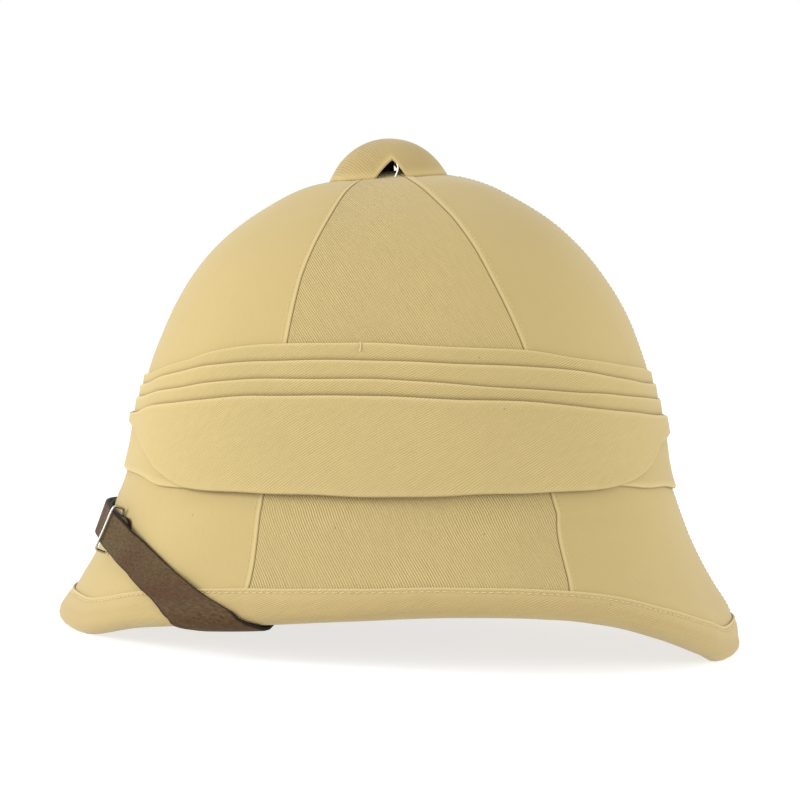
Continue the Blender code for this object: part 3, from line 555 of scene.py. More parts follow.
def seam_relief(from_start, to_end, laps):
    """The cloth's offset and marks: down in its seams, where painted shade with some soil darkens it, and up
    where it laps another, whose rubbed border is painted pale, partly as a highlight.
    """
    groove = sum(np.exp(-(away / SEAM_HALF) ** 2) for away in (from_start, to_end))
    offset = -SEAM_GROOVE * groove
    # Painted shade, with some soil, in the seam's groove.
    wear_and_painted_light = -SEAM_SHADE_AND_SOIL * groove
    for lap, away in zip(laps, (from_start, to_end)):
        offset = offset + lap * LAP_RISE * ease((LAP_WIDTH + LAP_FALL / 2 - away) / LAP_FALL)
        wear_and_painted_light = wear_and_painted_light + lap * np.exp(-((away - LIP_IN) / LIP_HALF) ** 2)
    return offset, wear_and_painted_light


def build_shell(finish):
    """The moulded wall in its cover of six gores, with its cloth-covered inside."""
    outside = np.concatenate((np.linspace(HOLE_ROW, 5, 24), np.linspace(5, BASE_ROW, 44)[1:],
                              np.linspace(BASE_ROW, END_ROW, 28)[1:]))
    edge = np.linspace(END_ROW, TURNED_ROW, 16)[1:]
    inside = np.linspace(TURNED_ROW, LAST_ROW, 40)[1:]
    rows = np.concatenate((outside, edge, inside))
    relief = np.where(rows < END_ROW - 1, 1.0, 0.0)
    panels = gore_panels(rows, 22, relief)
    closed = []
    weave = []
    crown = 1 - ease((rows - 8) / 3)[:, None]
    for (grid, cloth, wear_and_painted_light), ribs in zip(panels, GORE_RIBS):
        # The hole goes straight through the wall at the top.
        rim = grid[0] - CROWN_WALL * vent_axis()
        grid = np.concatenate((grid, rim[None], grid[:1]))
        cloth = np.concatenate((cloth, cloth[:1] - (0, CROWN_WALL), cloth[:1]))
        wear_and_painted_light = np.concatenate((wear_and_painted_light, wear_and_painted_light[:1] * 0, wear_and_painted_light[:1]))
        closed.append((grid, cloth, wear_and_painted_light))
        toward_back = np.linspace(0, 1, grid.shape[1])[None]
        if len(weave) > 2:
            toward_back = 1 - toward_back
        shown = ribs * (1 - RIBS_FADE * toward_back * crown)
        weave.append(np.concatenate((shown, shown[:1], shown[:1])))
    return make_piece("shell_cover", closed, finish, ribs=weave)


def band(name, stations, profile, finish):
    """A closed strip round the helmet, from a profile that gives the points and the marks, of wear and of
    painted light, at all azimuths.

    Its weave is pressed flatter at the front and at the back than at the sides."""
    azimuths = np.linspace(0, 360, stations + 1)
    grid, wear_and_painted_light = profile(azimuths)
    grid = np.concatenate((grid, grid[:1]))
    wear_and_painted_light = np.concatenate((wear_and_painted_light, wear_and_painted_light[:1]))
    turn = from_front(azimuths)
    ribs = 0.10 + 0.60 * ease((turn - 22) / 28) * ease((160 - turn) / 30)
    return make_piece(name, [(grid, cloth_lengths(grid), wear_and_painted_light)], finish, ribs=[ribs[None]])


def wave_round(azimuth, turns, seed):
    """A smooth random wave round the helmet, from -1 to 1."""
    phases = np.random.default_rng(seed).uniform(0, 2 * math.pi, len(turns))
    total = sum(np.cos(turn * np.radians(azimuth) + phase) for turn, phase in zip(turns, phases))
    return total / len(turns)


def binding_sway(azimuth):
    """How far the binding's edges stray from the distances of its outline."""
    return BINDING_SWAY * wave_round(azimuth, (5, 9, 14, 23), 3)


def build_binding(finish):
    """The strip of cloth that is turned over the edge and stitched down near its upper border."""
    # Marks above 0 are rubbed pale, partly as a painted highlight, on the rolled edges; marks below 0 are
    # painted shade at the top edge against the brim and on the lower outer face.
    outline = (  # distance from the tip of the edge, offset, and marks of wear and painted light
        (-17.5, 0.12, -1.0), (-17.68, 0.45, -0.3), (-17.62, 0.85, 0.5), (-17.3, 1.14, 1.0),
        (-16.8, 1.22, 0.5), (-16.3, 1.05, 0.1), (-15.9, 0.82, 0.0), (-15.6, 0.74, 0.0), (-15.3, 0.82, 0.0),
        (-14.8, 1.05, 0.1), (-14.0, 1.25, 0.1), (-12.5, 1.34, 0.0), (-10.5, 1.30, -0.1),
        (-8.5, 1.27, -0.16), (-6.5, 1.3, -0.18),
        (-4.5, 1.3, -0.16), (-3.0, 1.3, -0.1), (-1.5, 1.3, 0.1), (0.0, 1.3, 0.3), (1.5, 1.3, 0.4),
        (3.0, 1.3, 0.4), (4.5, 1.3, 0.3), (6.5, 1.3, 0.2), (8.5, 1.3, 0.1), (10.5, 1.28, 0.1),
        (11.2, 0.85, 0.0), (11.9, 1.15, 0.2), (12.7, 1.1, 0.5), (13.0, 0.7, 0.2), (12.9, 0.2, 0.0),
        (9.0, 0.2, 0.0), (5.0, 0.25, 0.0), (2.0, 0.3, 0.0), (0.0, 0.3, 0.0), (-2.0, 0.3, 0.0),
        (-5.0, 0.25, 0.0), (-9.0, 0.2, 0.0), (-13.0, 0.15, 0.0),
    )
    place, height, marks_of_wear_and_light = (column[:, None] for column in np.array(outline).T)
    outer = height > 0.5

    def profile(azimuths):
        narrow = np.clip((-4.0 - place) / 10.0, 0.0, 1.0)
        distance = (place + narrow * level_curve(BORDER_INSET, 1, azimuths)[None, :]) / 1000
        distance = distance + binding_sway(azimuths)[None, :]
        arc = np.radians(azimuths)[None, :] * BRIM_LENGTH / 2
        # The cloth puckers between the stitches.
        near_stitch = np.exp(-((place - PUCKER_LINE) / 1.6) ** 2) * outer
        pucker = PUCKER * near_stitch * np.cos(2 * math.pi * arc / STITCH_PITCH)
        bulge = np.exp(-((place + 9) / 4) ** 2) * wave_round(azimuths, (17, 29, 41), 5)[None, :]
        offset = height / 1000 + pucker + BINDING_SLACK * bulge * outer
        grid = on_brim(azimuths[None, :], distance, offset)
        grid[..., 2] = np.maximum(grid[..., 2], 0.0)
        return grid, np.broadcast_to(marks_of_wear_and_light, offset.shape)

    return band("brim_binding_cloth", 600, profile, finish)


def tube(centres, side, other, radius, corners):
    """Rings of points round a line, in the plane of two square directions at each of its points."""
    angle = np.linspace(0, 2 * math.pi, corners + 1)[None, :, None]
    circle = side[:, None] * np.cos(angle) + other[:, None] * np.sin(angle)
    return centres[:, None] + radius * circle


def thread_piece(name, lines, radius, finish, corners=6):
    """Short threads as one mesh: each line is an array of points, and the ends are drawn in to a tip."""
    panels = []
    for line in lines:
        way = unit(np.gradient(line, axis=0))
        side = unit(np.cross(way, (0.31, 0.23, 0.92)))
        taper = np.ones((len(line), 1, 1))
        taper[[0, -1]] = 0.35
        grid = tube(line, side, np.cross(way, side), radius * taper, corners)
        tips = [np.broadcast_to(end, (1, corners + 1, 3)) for end in (line[0], line[-1])]
        grid = np.concatenate((tips[0], grid, tips[1]))
        panels.append((grid, cloth_lengths(grid), 0.0))
    return make_piece(name, panels, finish)


def build_stitches(finish):
    """The row of stitches that holds the binding's upper border."""
    count = int(math.pi * (BRIM_LENGTH + BRIM_WIDTH) / 2 / STITCH_PITCH)
    sink = STITCH_SINK * np.array((1.0, 0.25, 0.0, 0.25, 1.0))
    along = np.linspace(-0.5, 0.5, 5) * STITCH_LENGTH / STITCH_PITCH
    lines = []
    for index in range(count):
        azimuth = 360 / count * (index + along)
        distance = -BINDING_OUTSIDE + STITCH_LINE + binding_sway(azimuth)
        distance = distance + level_curve(BORDER_INSET, 1, azimuth) / 1000
        lines.append(on_brim(azimuth, distance, 0.00095 - sink))
    return thread_piece("binding_stitches", lines, THREAD_RADIUS, finish)


def build_seam_stitches(finish):
    """A row of fine stitches beside each seam, through the gore that laps the other."""
    rows = np.linspace(2.5, END_ROW - 1.2, 500)
    along = np.linspace(0.0, 1.0, 4) * SEAM_STITCH_PITCH * SEAM_STITCH_SHARE
    lines = []
    for seam, (_, laps_next) in zip(seam_azimuths(rows).T[1:], GORE_LAPS):
        middle = wall(seam, rows)
        radius = np.hypot(middle[:, 0], middle[:, 1] - CROWN_MIDDLE)
        azimuth = seam + (1 - 2 * laps_next) * np.degrees(SEAM_STITCH_IN / radius)
        path = over_wall(azimuth, rows, LAP_RISE + 0.4 * SEAM_THREAD)
        lengths = path_lengths(path, 0)
        for start in np.arange(0.0, lengths[-1] - SEAM_STITCH_PITCH, SEAM_STITCH_PITCH):
            lines.append(np.stack([np.interp(start + along, lengths, axis) for axis in path.T], axis=-1))
    return thread_piece("seam_stitches", lines, SEAM_THREAD, finish, corners=5)


def line_height(azimuth, name):
    column = PUGGAREE_COLUMNS.index(name)
    return PUGGAREE_BOTTOM + PUGGAREE_DEPTH * level_curve(PUGGAREE_LINES, column, azimuth)


def over_crown(azimuth, height, offset):
    azimuth, height, offset = np.broadcast_arrays(azimuth, height, offset)
    return over_wall(azimuth, row_at_drop(azimuth, -height), offset)


def puggaree_edge(azimuth, name):
    """The height of one of the puggaree's upper edges, with the slight sway of a hand-wound cloth."""
    seed = 19 + PUGGAREE_COLUMNS.index(name)
    return line_height(azimuth, name) + PLEAT_SWAY * wave_round(azimuth, (4, 7, 12, 19), seed)


def on_crown(azimuths, rows):
    """The points and the marks of rows of cloth round the crown, each (height, offset, marks); marks above 0
    are rubbed wear with a painted highlight, below 0 painted shade.
    """
    height, offset, wear_and_painted_light = (np.array([np.broadcast_to(row[part], azimuths.shape) for row in rows])
                            for part in range(3))
    return over_crown(np.broadcast_to(azimuths, height.shape), height, offset), wear_and_painted_light


def fold_rows(top, bottom, lift):
    """The outside of one pleat from its folded upper edge down: (height, offset, marks) arrays. Its marks
    paint the folded edge pale, partly as a highlight, and paint shade under the roll and at the pleat's foot.

    lift is the pleat's outer offset, and its lower end lies PLEAT_FALL nearer."""
    room = np.maximum(top - bottom, 0.002)
    squeeze = np.minimum(1.0, room / 0.009)
    # Painted shade under the roll, then the crest rubbed pale and partly a painted highlight.
    rows = [(top, lift - 0.00055, -0.6), (top - 0.00012, lift - 0.00012, 0.5),
            (top - 0.00045, lift + 0.00020, 1.0), (top - 0.0010 * squeeze, lift + 0.00028, 0.5),
            (top - 0.0018 * squeeze, lift + 0.00022, 0.15)]
    plain = room - 0.0018 * squeeze - 0.0016
    for share in (0.2, 0.4, 0.6, 0.8, 1.0):
        height = top - 0.0018 * squeeze - plain * share
        rows.append((height, lift + 0.0002 - PLEAT_FALL * share, 0.05 - 0.2 * share ** 3))
    # Painted shade at the pleat's foot, where it goes under the next fold.
    rows.append((bottom + 0.0006, lift - PLEAT_FALL, -0.45))
    rows.append((bottom + 0.0001, lift - PLEAT_FALL - 0.00015, -1.0))
    return rows


def build_pleats(finish):
    """The puggaree's first layers: three pleats that show above the wrap, and the cloth under it."""
    def profile(azimuths):
        edges = [puggaree_edge(azimuths, name) for name in PUGGAREE_COLUMNS[1:5]]
        bottom = line_height(azimuths, "under_bottom") + HEM_SWAY * wave_round(azimuths, (7, 13, 21), 31)
        rows = [(edges[0] - 0.0001, 0.0003, 0.0)]
        for index in range(3):
            lift = CLEARANCE + PLEAT_WALL + PLEAT_STEP * index
            swell = PLEAT_SWELL * wave_round(azimuths, (9, 17, 26), 40 + index)
            rows += fold_rows(edges[index], edges[index + 1], lift + swell)
        deep = lift - 0.0002
        hidden = edges[-1] - 0.002
        for share in (0.0, 0.2, 0.4, 0.6, 0.75, 0.85, 0.93):
            rows.append((hidden + (bottom + 0.0012 - hidden) * share, deep, 0.0))
        # The under layer's hem is rubbed pale, partly as a painted highlight.
        rows += [(bottom + 0.0012, deep, 0.4), (bottom + 0.0004, deep - 0.0003, 1.0),
                 (bottom, deep - 0.0011, 0.3)]
        for share in (0.02, 0.25, 0.5, 0.75):
            rows.append((bottom + (edges[0] - bottom) * share, CLEARANCE * 0.8, 0.0))
        return on_crown(azimuths, rows)

    return band("puggaree_pleat_cloth", 480, profile, finish)


def build_wrap(finish):
    """The puggaree's wide outer turn, which narrows to the front and to the back."""
    inside = CLEARANCE + PLEAT_WALL + PLEAT_STEP * 2 + WRAP_EASE
    outside = inside + WRAP_WALL

    def profile(azimuths):
        top = puggaree_edge(azimuths, "wrap_top")
        bottom = line_height(azimuths, "wrap_bottom") + HEM_SWAY * wave_round(azimuths, (5, 12, 22), 52)
        room = top - bottom
        squeeze = np.minimum(1.0, room / 0.010)
        # The top fold: painted shade just behind it, and its crest rubbed pale, partly as a painted
        # highlight.
        rows = [(top - 0.0004, inside - 0.0004, 0.0), (top - 0.00005, inside + 0.0002, -0.4),
                (top, (inside + outside) / 2, 0.5), (top - 0.00035, outside + 0.00005, 1.0),
                (top - 0.0010 * squeeze, outside + 0.00025, 0.5),
                (top - 0.0018 * squeeze, outside + 0.0002, 0.2)]
        plain = room - 0.0030 * squeeze
        for index, share in enumerate(np.linspace(0, 1, 17)[1:-1]):
            slack = WRAP_SLACK * wave_round(azimuths, (5, 9, 15, 21), 60 + index // 4)
            height = top - 0.0018 * squeeze - plain * share
            rows.append((height, outside + slack * math.sin(math.pi * share), 0.05))
        # The turned-under bottom edge is painted dark: painted shade, with some dirt, beneath the wrap.
        rows += [(bottom + 0.0012 * squeeze, outside + 0.0001, 0.15),
                 (bottom + 0.0005, outside + 0.00002, 0.35), (bottom + 0.0001, outside - 0.0004, -0.4),
                 (bottom, outside - 0.0009, -1.0), (bottom + 0.0003, inside, -1.0)]
        for share in (0.25, 0.5, 0.75):
            rows.append((bottom + room * share, inside, 0.0))
        return on_crown(azimuths, rows)

    return band("puggaree_wrap_cloth", 480, profile, finish)


def vent_axis():
    """The direction out of the crown at the vent."""
    low, high = (smooth_rows(outer_sections(np.array([azimuth])), np.array([1.0]))[0]
                 for azimuth in (0.0, 180.0))
    return np.cross((1.0, 0.0, 0.0), unit(high - low))


def vent_frame():
    origin = smooth_rows(outer_sections(np.array([0.0])), np.array([0.0]))[0]
    return axis_frame(origin, vent_axis(), (1.0, 0.0, 0.0))


def crown_height(x, y):
    """The outer skin's height over places near the top, read from its rings."""
    rows = np.arange(0.05, 5.0, 0.02)
    front, back, side = (smooth_rows(outer_sections(np.full(len(rows), angle)), rows)
                         for angle in (0.0, 180.0, 90.0))
    turn_x = x[..., None] / side[:, 0]
    turn_y = (y[..., None] - (front[:, 1] + back[:, 1]) / 2) / ((back[:, 1] - front[:, 1]) / 2)
    first = np.argmax(turn_x ** 2 + turn_y ** 2 <= 1, axis=-1)
    azimuth = np.degrees(np.arctan2(pick_last(turn_x, first), -pick_last(turn_y, first)))
    return smooth_rows(outer_sections(azimuth), rows[first])[..., 2]


def rim_heights(place, angle, radius):
    """Where the cap's rim meets the crown, along the vent's axis."""
    height = np.zeros(angle.shape)
    for _ in range(4):
        points = place(radius * np.cos(angle), radius * np.sin(angle), height)
        height = height - (points[..., 2] - crown_height(points[..., 0], points[..., 1]))
    return height + CLEARANCE * 2


def arch_rise(angle):
    """How far the cap's lower border rises over its two arches, at the helmet's left and right."""
    from_peak = CAP_RADIUS * np.sin(angle) - ARCH_PEAK
    aside = np.clip(np.abs(from_peak) / np.where(from_peak < 0, ARCH_FRONT, ARCH_BACK), 0.0, 1.0)
    return ARCH_HEIGHT * (1 - aside) * (1 + ARCH_BULGE * aside)


def cap_angles():
    """Angles round the cap, closer together at the arches."""
    arch = np.linspace(-22, 22, 65)
    plain = np.linspace(22, 158, 44)[1:-1]
    degrees = np.concatenate((arch, plain, arch + 180, plain + 180, [338.0]))
    return np.radians(degrees)


def build_cap(finish):
    """The domed ventilator cap, covered in cloth, whose turned border is arched at its left and its right."""
    place = vent_frame()
    angle = cap_angles()
    rim = rim_heights(place, angle, CAP_RADIUS)
    flat = math.cos(RIM_SLOPE)

    def dome(radius, top, slope):
        """Points where the dome has a slope: RIM_SLOPE at its rim and 0 at its top."""
        reach = radius * np.sin(slope) / math.sin(RIM_SLOPE)
        up = rim + (top - rim) * (np.cos(slope) - flat) / (1 - flat)
        return place(reach * np.cos(angle), reach * np.sin(angle), up)

    none = np.zeros(len(angle))
    border = np.arccos(flat + (1 - flat) * arch_rise(angle) / (CAP_HEIGHT - rim))
    lip = 0.0010 / CAP_RADIUS
    rows = [np.broadcast_to(place(0.0, 0.0, CAP_HEIGHT), (len(angle), 3))]
    wear_and_painted_light = [none]
    for share in np.linspace(0.015, 1.0, 30):
        slope = border * share
        near = np.exp(-((border - slope) / (2.2 * lip)) ** 2)
        outward = outward_of(place, angle)
        rows.append(dome(CAP_RADIUS, CAP_HEIGHT, slope) + COVER_LIP * near[:, None] * outward)
        # The turned border is rubbed pale, partly as a painted highlight.
        wear_and_painted_light.append(near * 0.9)
    rows.append(dome(CAP_RADIUS - 0.0006, CAP_HEIGHT - 0.0004, border + lip))
    wear_and_painted_light.append(none + 0.3)
    for share in np.linspace(0.97, 0.015, 14):
        rows.append(dome(CAP_RADIUS - CAP_WALL, CAP_HEIGHT - CAP_WALL, border * share))
        wear_and_painted_light.append(none)
    rows.append(np.broadcast_to(place(0.0, 0.0, CAP_HEIGHT - CAP_WALL), (len(angle), 3)))
    wear_and_painted_light.append(none)
    grid = np.array(rows)
    # The cloth is pulled down over each side of the dome, so its weave runs straight across that side.
    down = np.abs(grid[..., 0]) * math.sin(COVER_PULL) - grid[..., 2] * math.cos(COVER_PULL)
    cloth = np.stack((grid[..., 1], down), axis=-1)
    # The weave shows on the front half of the dome and is pressed flat on the back half.
    ribs = ease(0.35 - 1.6 * np.sin(angle))[None]
    return make_piece("ventilator_cloth", [(grid, cloth, np.array(wear_and_painted_light))], finish, ribs=[ribs])


def outward_of(place, angle):
    return place(np.cos(angle), np.sin(angle), 0.0) - place(0.0, 0.0, 0.0)


def turned_piece(name, outline, place, finish, sides=48):
    """A piece turned round an axis from (radius, height) points, whose first and last lie on it."""
    angle = np.linspace(0, 2 * math.pi, sides + 1)
    grid = np.array([place(radius * np.cos(angle), radius * np.sin(angle), height)
                     for radius, height in outline])
    piece = make_piece(name, [(grid, cloth_lengths(grid), 0.0)], finish)
    piece.data.set_sharp_from_angle(angle=math.radians(40))
    return piece


def route(knots):
    """The azimuth and the distance from the edge's tip of the strap's middle line."""
    table = np.array(STRAP_ROUTE, dtype=float)
    places = smooth_rows(np.broadcast_to(table, (len(knots), *table.shape)), knots)
    azimuth, along = places[:, 0], places[:, 1]
    outside, inside = (np.array([np.interp(row, SLOPE_ROWS, line) for line in SLOPE_LENGTHS])
                       for row in (BASE_ROW, INNER_BASE_ROW))
    low = np.floor(azimuth).astype(int)
    ends = np.where(along > 0, inside[low % 360], outside[low % 360])
    next_ends = np.where(along > 0, inside[(low + 1) % 360], outside[(low + 1) % 360])
    return azimuth, along * np.abs(ends + (next_ends - ends) * (azimuth - low))


def strap_frames(knots):
    """Places on the route, and how the azimuth and the distance change for each metre across the strap."""
    azimuth, distance = route(knots)
    ahead_azimuth, ahead_distance = route(knots + 0.02)
    round_way = on_brim(azimuth + 0.5, distance, 0.0) - on_brim(azimuth - 0.5, distance, 0.0)
    down_way = (on_brim(azimuth, distance + 0.0005, 0.0) - on_brim(azimuth, distance - 0.0005, 0.0)) / 0.001
    tangent = round_way * (ahead_azimuth - azimuth)[:, None]
    tangent = unit(tangent + down_way * (ahead_distance - distance)[:, None])
    square = np.cross(unit(np.cross(down_way, round_way)), tangent)
    along_edge = unit(round_way)
    along_edge = along_edge * np.sign(np.sum(along_edge * square, axis=1))[:, None]
    near_edge = (1 - ease((np.abs(distance) - TURN_ZONE) / TURN_FADE))[:, None]
    across = square * (1 - near_edge) + along_edge * near_edge
    across = across / np.sum(across * square, axis=1)[:, None]
    shares = [np.linalg.lstsq(np.column_stack(pair), target, rcond=None)[0]
              for pair, target in zip(zip(round_way, down_way), across)]
    return azimuth, distance, np.array(shares), tangent


def strap_lift(azimuth, distance, layer):
    """How far the under side of the strap lies off the shell."""
    spare = 2 * CLEARANCE
    outside = ease((distance + BINDING_OUTSIDE + 2 * BINDING_RAMP) / BINDING_RAMP)
    inside = 1 - ease((distance - BINDING_INSIDE - BINDING_RAMP) / BINDING_RAMP)
    lift = spare + COVER * np.where(distance < 0, outside, inside)
    from_wire, wire_fade = WIRE_RAMP
    over_wire = 1 - ease((np.abs(np.abs(azimuth) - SLIDE_AZIMUTH) - from_wire) / wire_fade)
    lift = np.maximum(lift, spare + 2 * SLIDE_WIRE * over_wire)
    if layer == 1:
        from_end, lap_fade = LAP_RAMP
        past_end = azimuth + STRAP_ROUTE[0][0] - from_end
        lift = lift + (STRAP_THICKNESS + CLEARANCE) * (1 - ease(past_end / lap_fade))
    return lift


def mirrored(points, side):
    return points * np.array((side, 1.0, 1.0))


def strap_outline():
    """The strap's section: (across, above) points round it, with rounded edges and a crowned face."""
    half = STRAP_WIDTH / 2
    bevel = STRAP_BEVEL
    face = [(half * share, STRAP_THICKNESS + STRAP_CROWN * (1 - share ** 2))
            for share in np.linspace(-0.9, 0.9, 9)]
    corner = [(half - bevel + bevel * math.sin(turn), bevel * math.cos(turn) - bevel)
              for turn in np.radians(np.linspace(0, 90, 4))]
    right = [(across, STRAP_THICKNESS + above) for across, above in corner]
    under = [(across, -above) for across, above in reversed(corner)]
    left = [(-across, above) for across, above in reversed(right)]
    below = [(-across, above) for across, above in reversed(under)]
    return np.array(left[:-1] + face + right[1:] + under + [(0.0, 0.0)] + below)


def strap_knots(count):
    """Knots an even way apart along the route."""
    dense = np.arange(0, len(STRAP_ROUTE) - 1 + 0.001, 0.05)
    azimuth, distance = route(dense)
    lengths = path_lengths(on_brim(azimuth, distance, 0.0), 0)
    return np.interp(np.linspace(0, lengths[-1], count), lengths, dense), lengths[-1]


def build_strap(name, side, layer, finish):
    """Half of the chin strap, from its end past the front of the crown to its stud inside the brim."""
    knots, length = strap_knots(150)
    outline = strap_outline()
    azimuth, distance, shares, _ = strap_frames(knots)
    # The strap's end is cut round.
    from_end = np.linspace(0, length, len(knots))
    half = STRAP_WIDTH / 2
    narrow = np.sqrt(np.clip(1 - (1 - np.clip(from_end / (half * 0.8), 0, 1)) ** 2, 0.12, 1))
    across = outline[None, :, 0] * narrow[:, None]
    point_azimuth = azimuth[:, None] + shares[:, 0, None] * across
    point_distance = distance[:, None] + shares[:, 1, None] * across
    lift = strap_lift(point_azimuth, point_distance, layer) + outline[None, :, 1]
    grid = mirrored(on_brim(point_azimuth, point_distance, lift), side)
    grid = np.concatenate((grid, grid[:, :1]), axis=1)
    around = np.append(outline[:, 0], outline[0, 0])
    cloth = np.stack(np.broadcast_arrays(from_end[:, None], around[None, :]), axis=-1)
    return make_piece(name, [(grid, cloth, 0.0)], finish, caps=(grid[0, :-1], grid[-1, :-1]))


def build_slide(name, side, finish):
    """A loop of nickelled wire round both halves of the strap, with its ends butted under them."""
    knots = np.arange(0, 6, 0.01)
    knot = np.interp([SLIDE_AZIMUTH], route(knots)[0], knots)
    azimuth, distance, shares, tangent = strap_frames(knot)
    low = CLEARANCE + SLIDE_WIRE
    high = float(strap_lift(azimuth, distance, 1)[0]) + STRAP_THICKNESS + 2 * CLEARANCE + SLIDE_WIRE
    turn = np.linspace(0, 2 * math.pi, 97)[:-1]
    across, up = (np.sign(part) * np.abs(part) ** SLIDE_SQUARENESS for part in (np.cos(turn), np.sin(turn)))
    across = SLIDE_WIDTH / 2 * across
    height = (low + high) / 2 + (high - low) / 2 * up
    centres = on_brim(azimuth + shares[0, 0] * across, distance + shares[0, 1] * across, height)
    ahead = np.roll(centres, -1, axis=0) - centres
    behind = centres - np.roll(centres, 1, axis=0)
    way = unit(unit(ahead) + unit(behind))
    outward = unit(np.cross(way, tangent[0]))
    grid = mirrored(tube(centres, outward, np.cross(outward, way), SLIDE_WIRE, 12), side)
    grid = np.concatenate((grid, grid[:1]))
    return make_piece(name, [(grid, cloth_lengths(grid), 0.0)], finish)


def build_stud(name, side, finish):
    """The domed stud that holds an end of the strap inside the brim."""
    azimuth, distance = route(np.array([float(STUD_KNOT)]))
    row = row_at_distance(azimuth, distance)
    axis = mirrored(wall_normal(azimuth, row)[0], side)
    place = axis_frame(mirrored(wall(azimuth, row)[0], side), axis, (0.0, 0.0, 1.0))
    seat = float(strap_lift(azimuth, distance, 0)[0]) + STRAP_THICKNESS + CLEARANCE
    rim = 0.0002
    outline = [(0.0, -SHANK_DEPTH), (SHANK_RADIUS, -SHANK_DEPTH), (SHANK_RADIUS, seat),
               (STUD_RADIUS * 0.96, seat), (STUD_RADIUS, seat + rim)]
    for turn in np.radians(np.linspace(10, 90, 8)):
        outline.append((STUD_RADIUS * math.cos(turn), seat + rim + (STUD_HEAD - rim) * math.sin(turn)))
    outline[-1] = (0.0, seat + STUD_HEAD)
    return turned_piece(name, outline, place, finish)


def build_loose_threads(white, khaki):
    """A loose end of white thread that hangs in the cap's arch, and a khaki one on the first pleat."""
    place = vent_frame()
    rim = float(rim_heights(place, np.array([0.0]), CAP_RADIUS)[0])
    share = np.linspace(0, 1, 14)
    sway = ARCH_PEAK + 0.0003 + 0.0016 * np.sin(math.pi * share ** 0.8) - 0.0002 * share
    drop = 0.0012 + 0.0078 * share
    hanging = place(CAP_RADIUS - 0.0052 + 0.0048 * share, sway, rim + ARCH_HEIGHT - drop)
    azimuth = 81.3 + 0.15 * np.sin(3 * share)
    height = line_height(azimuth, "top") + 0.0004 - 0.0042 * share
    lying = over_crown(azimuth, height, CLEARANCE + PLEAT_WALL + 0.0005)
    return (thread_piece("loose_white_thread", [hanging], THREAD_RADIUS * 1.4, white),
            thread_piece("loose_khaki_thread", [lying], THREAD_RADIUS, khaki))


def linear(sheet_hex):
    """An sRGB hex colour as linear red, green, blue and alpha."""
    values = [int(sheet_hex[place:place + 2], 16) / 255 for place in (1, 3, 5)]
    return [value / 12.92 if value <= 0.04045 else ((value + 0.055) / 1.055) ** 2.4
            for value in values] + [1.0]


def new_finish(name):
    material = bpy.data.materials.new(name)
    material.use_nodes = True
    return material, material.node_tree, material.node_tree.nodes["Principled BSDF"]


def add_node(tree, kind, inputs, **settings):
    """Adds a node with its settings. An input is a value or another node's socket."""
    node = tree.nodes.new("ShaderNode" + kind)
    for name, value in settings.items():
        setattr(node, name, value)
    set_inputs(tree, node, inputs)
    return node


def set_inputs(tree, node, inputs):
    for name, value in inputs.items():
        if isinstance(value, bpy.types.NodeSocket):
            tree.links.new(value, node.inputs[name])
        else:
            node.inputs[name].default_value = value


MIX_A, MIX_B, MIX_OUT = 6, 7, 2  # the colour sockets of a Mix node


def cloth_place(tree, turn=0.0):
    """Where a point lies on the flat cloth or leather, in metres, turned by some degrees."""
    place = add_node(tree, "UVMap", {}, uv_map="cloth").outputs[0]
    if turn:
        rotation = (0, 0, math.radians(turn))
        place = add_node(tree, "Mapping", {"Vector": place, "Rotation": rotation}).outputs[0]
    return place


def noise(tree, place, scale, detail, **inputs):
    inputs = {"Vector": place, "Scale": scale, "Detail": detail, **inputs}
    return add_node(tree, "TexNoise", inputs).outputs[0]


def bands(tree, place, period, direction="X", **inputs):
    """Waves that lie a period apart, in metres."""
    inputs = {"Vector": place, "Scale": math.pi / 10 / period, **inputs}
    return add_node(tree, "TexWave", inputs, bands_direction=direction).outputs["Fac"]


def spread(tree, name):
    """What the mesh says at a point under an attribute's name."""
    return add_node(tree, "Attribute", {}, attribute_name=name).outputs["Fac"]


def calculate(tree, operation, *values):
    return add_node(tree, "Math", dict(enumerate(values)), operation=operation).outputs[0]


def remap(tree, value, source, target=(0.0, 1.0)):
    """A value carried from one span over to another, and held at its ends."""
    spans = dict(zip(("From Min", "From Max", "To Min", "To Max"), source + target))
    return add_node(tree, "MapRange", {"Value": value, **spans}).outputs[0]


def blend(tree, share, first, second, way="MIX"):
    """Two colours mixed. Each is a hex value or another node's socket."""
    first, second = (linear(colour) if isinstance(colour, str) else colour for colour in (first, second))
    inputs = {0: share, MIX_A: first, MIX_B: second}
    return add_node(tree, "Mix", inputs, data_type="RGBA", blend_type=way).outputs[MIX_OUT]


def bumped(tree, height, distance, strength):
    inputs = {"Height": height, "Distance": distance, "Strength": strength}
    return add_node(tree, "Bump", inputs).outputs[0]


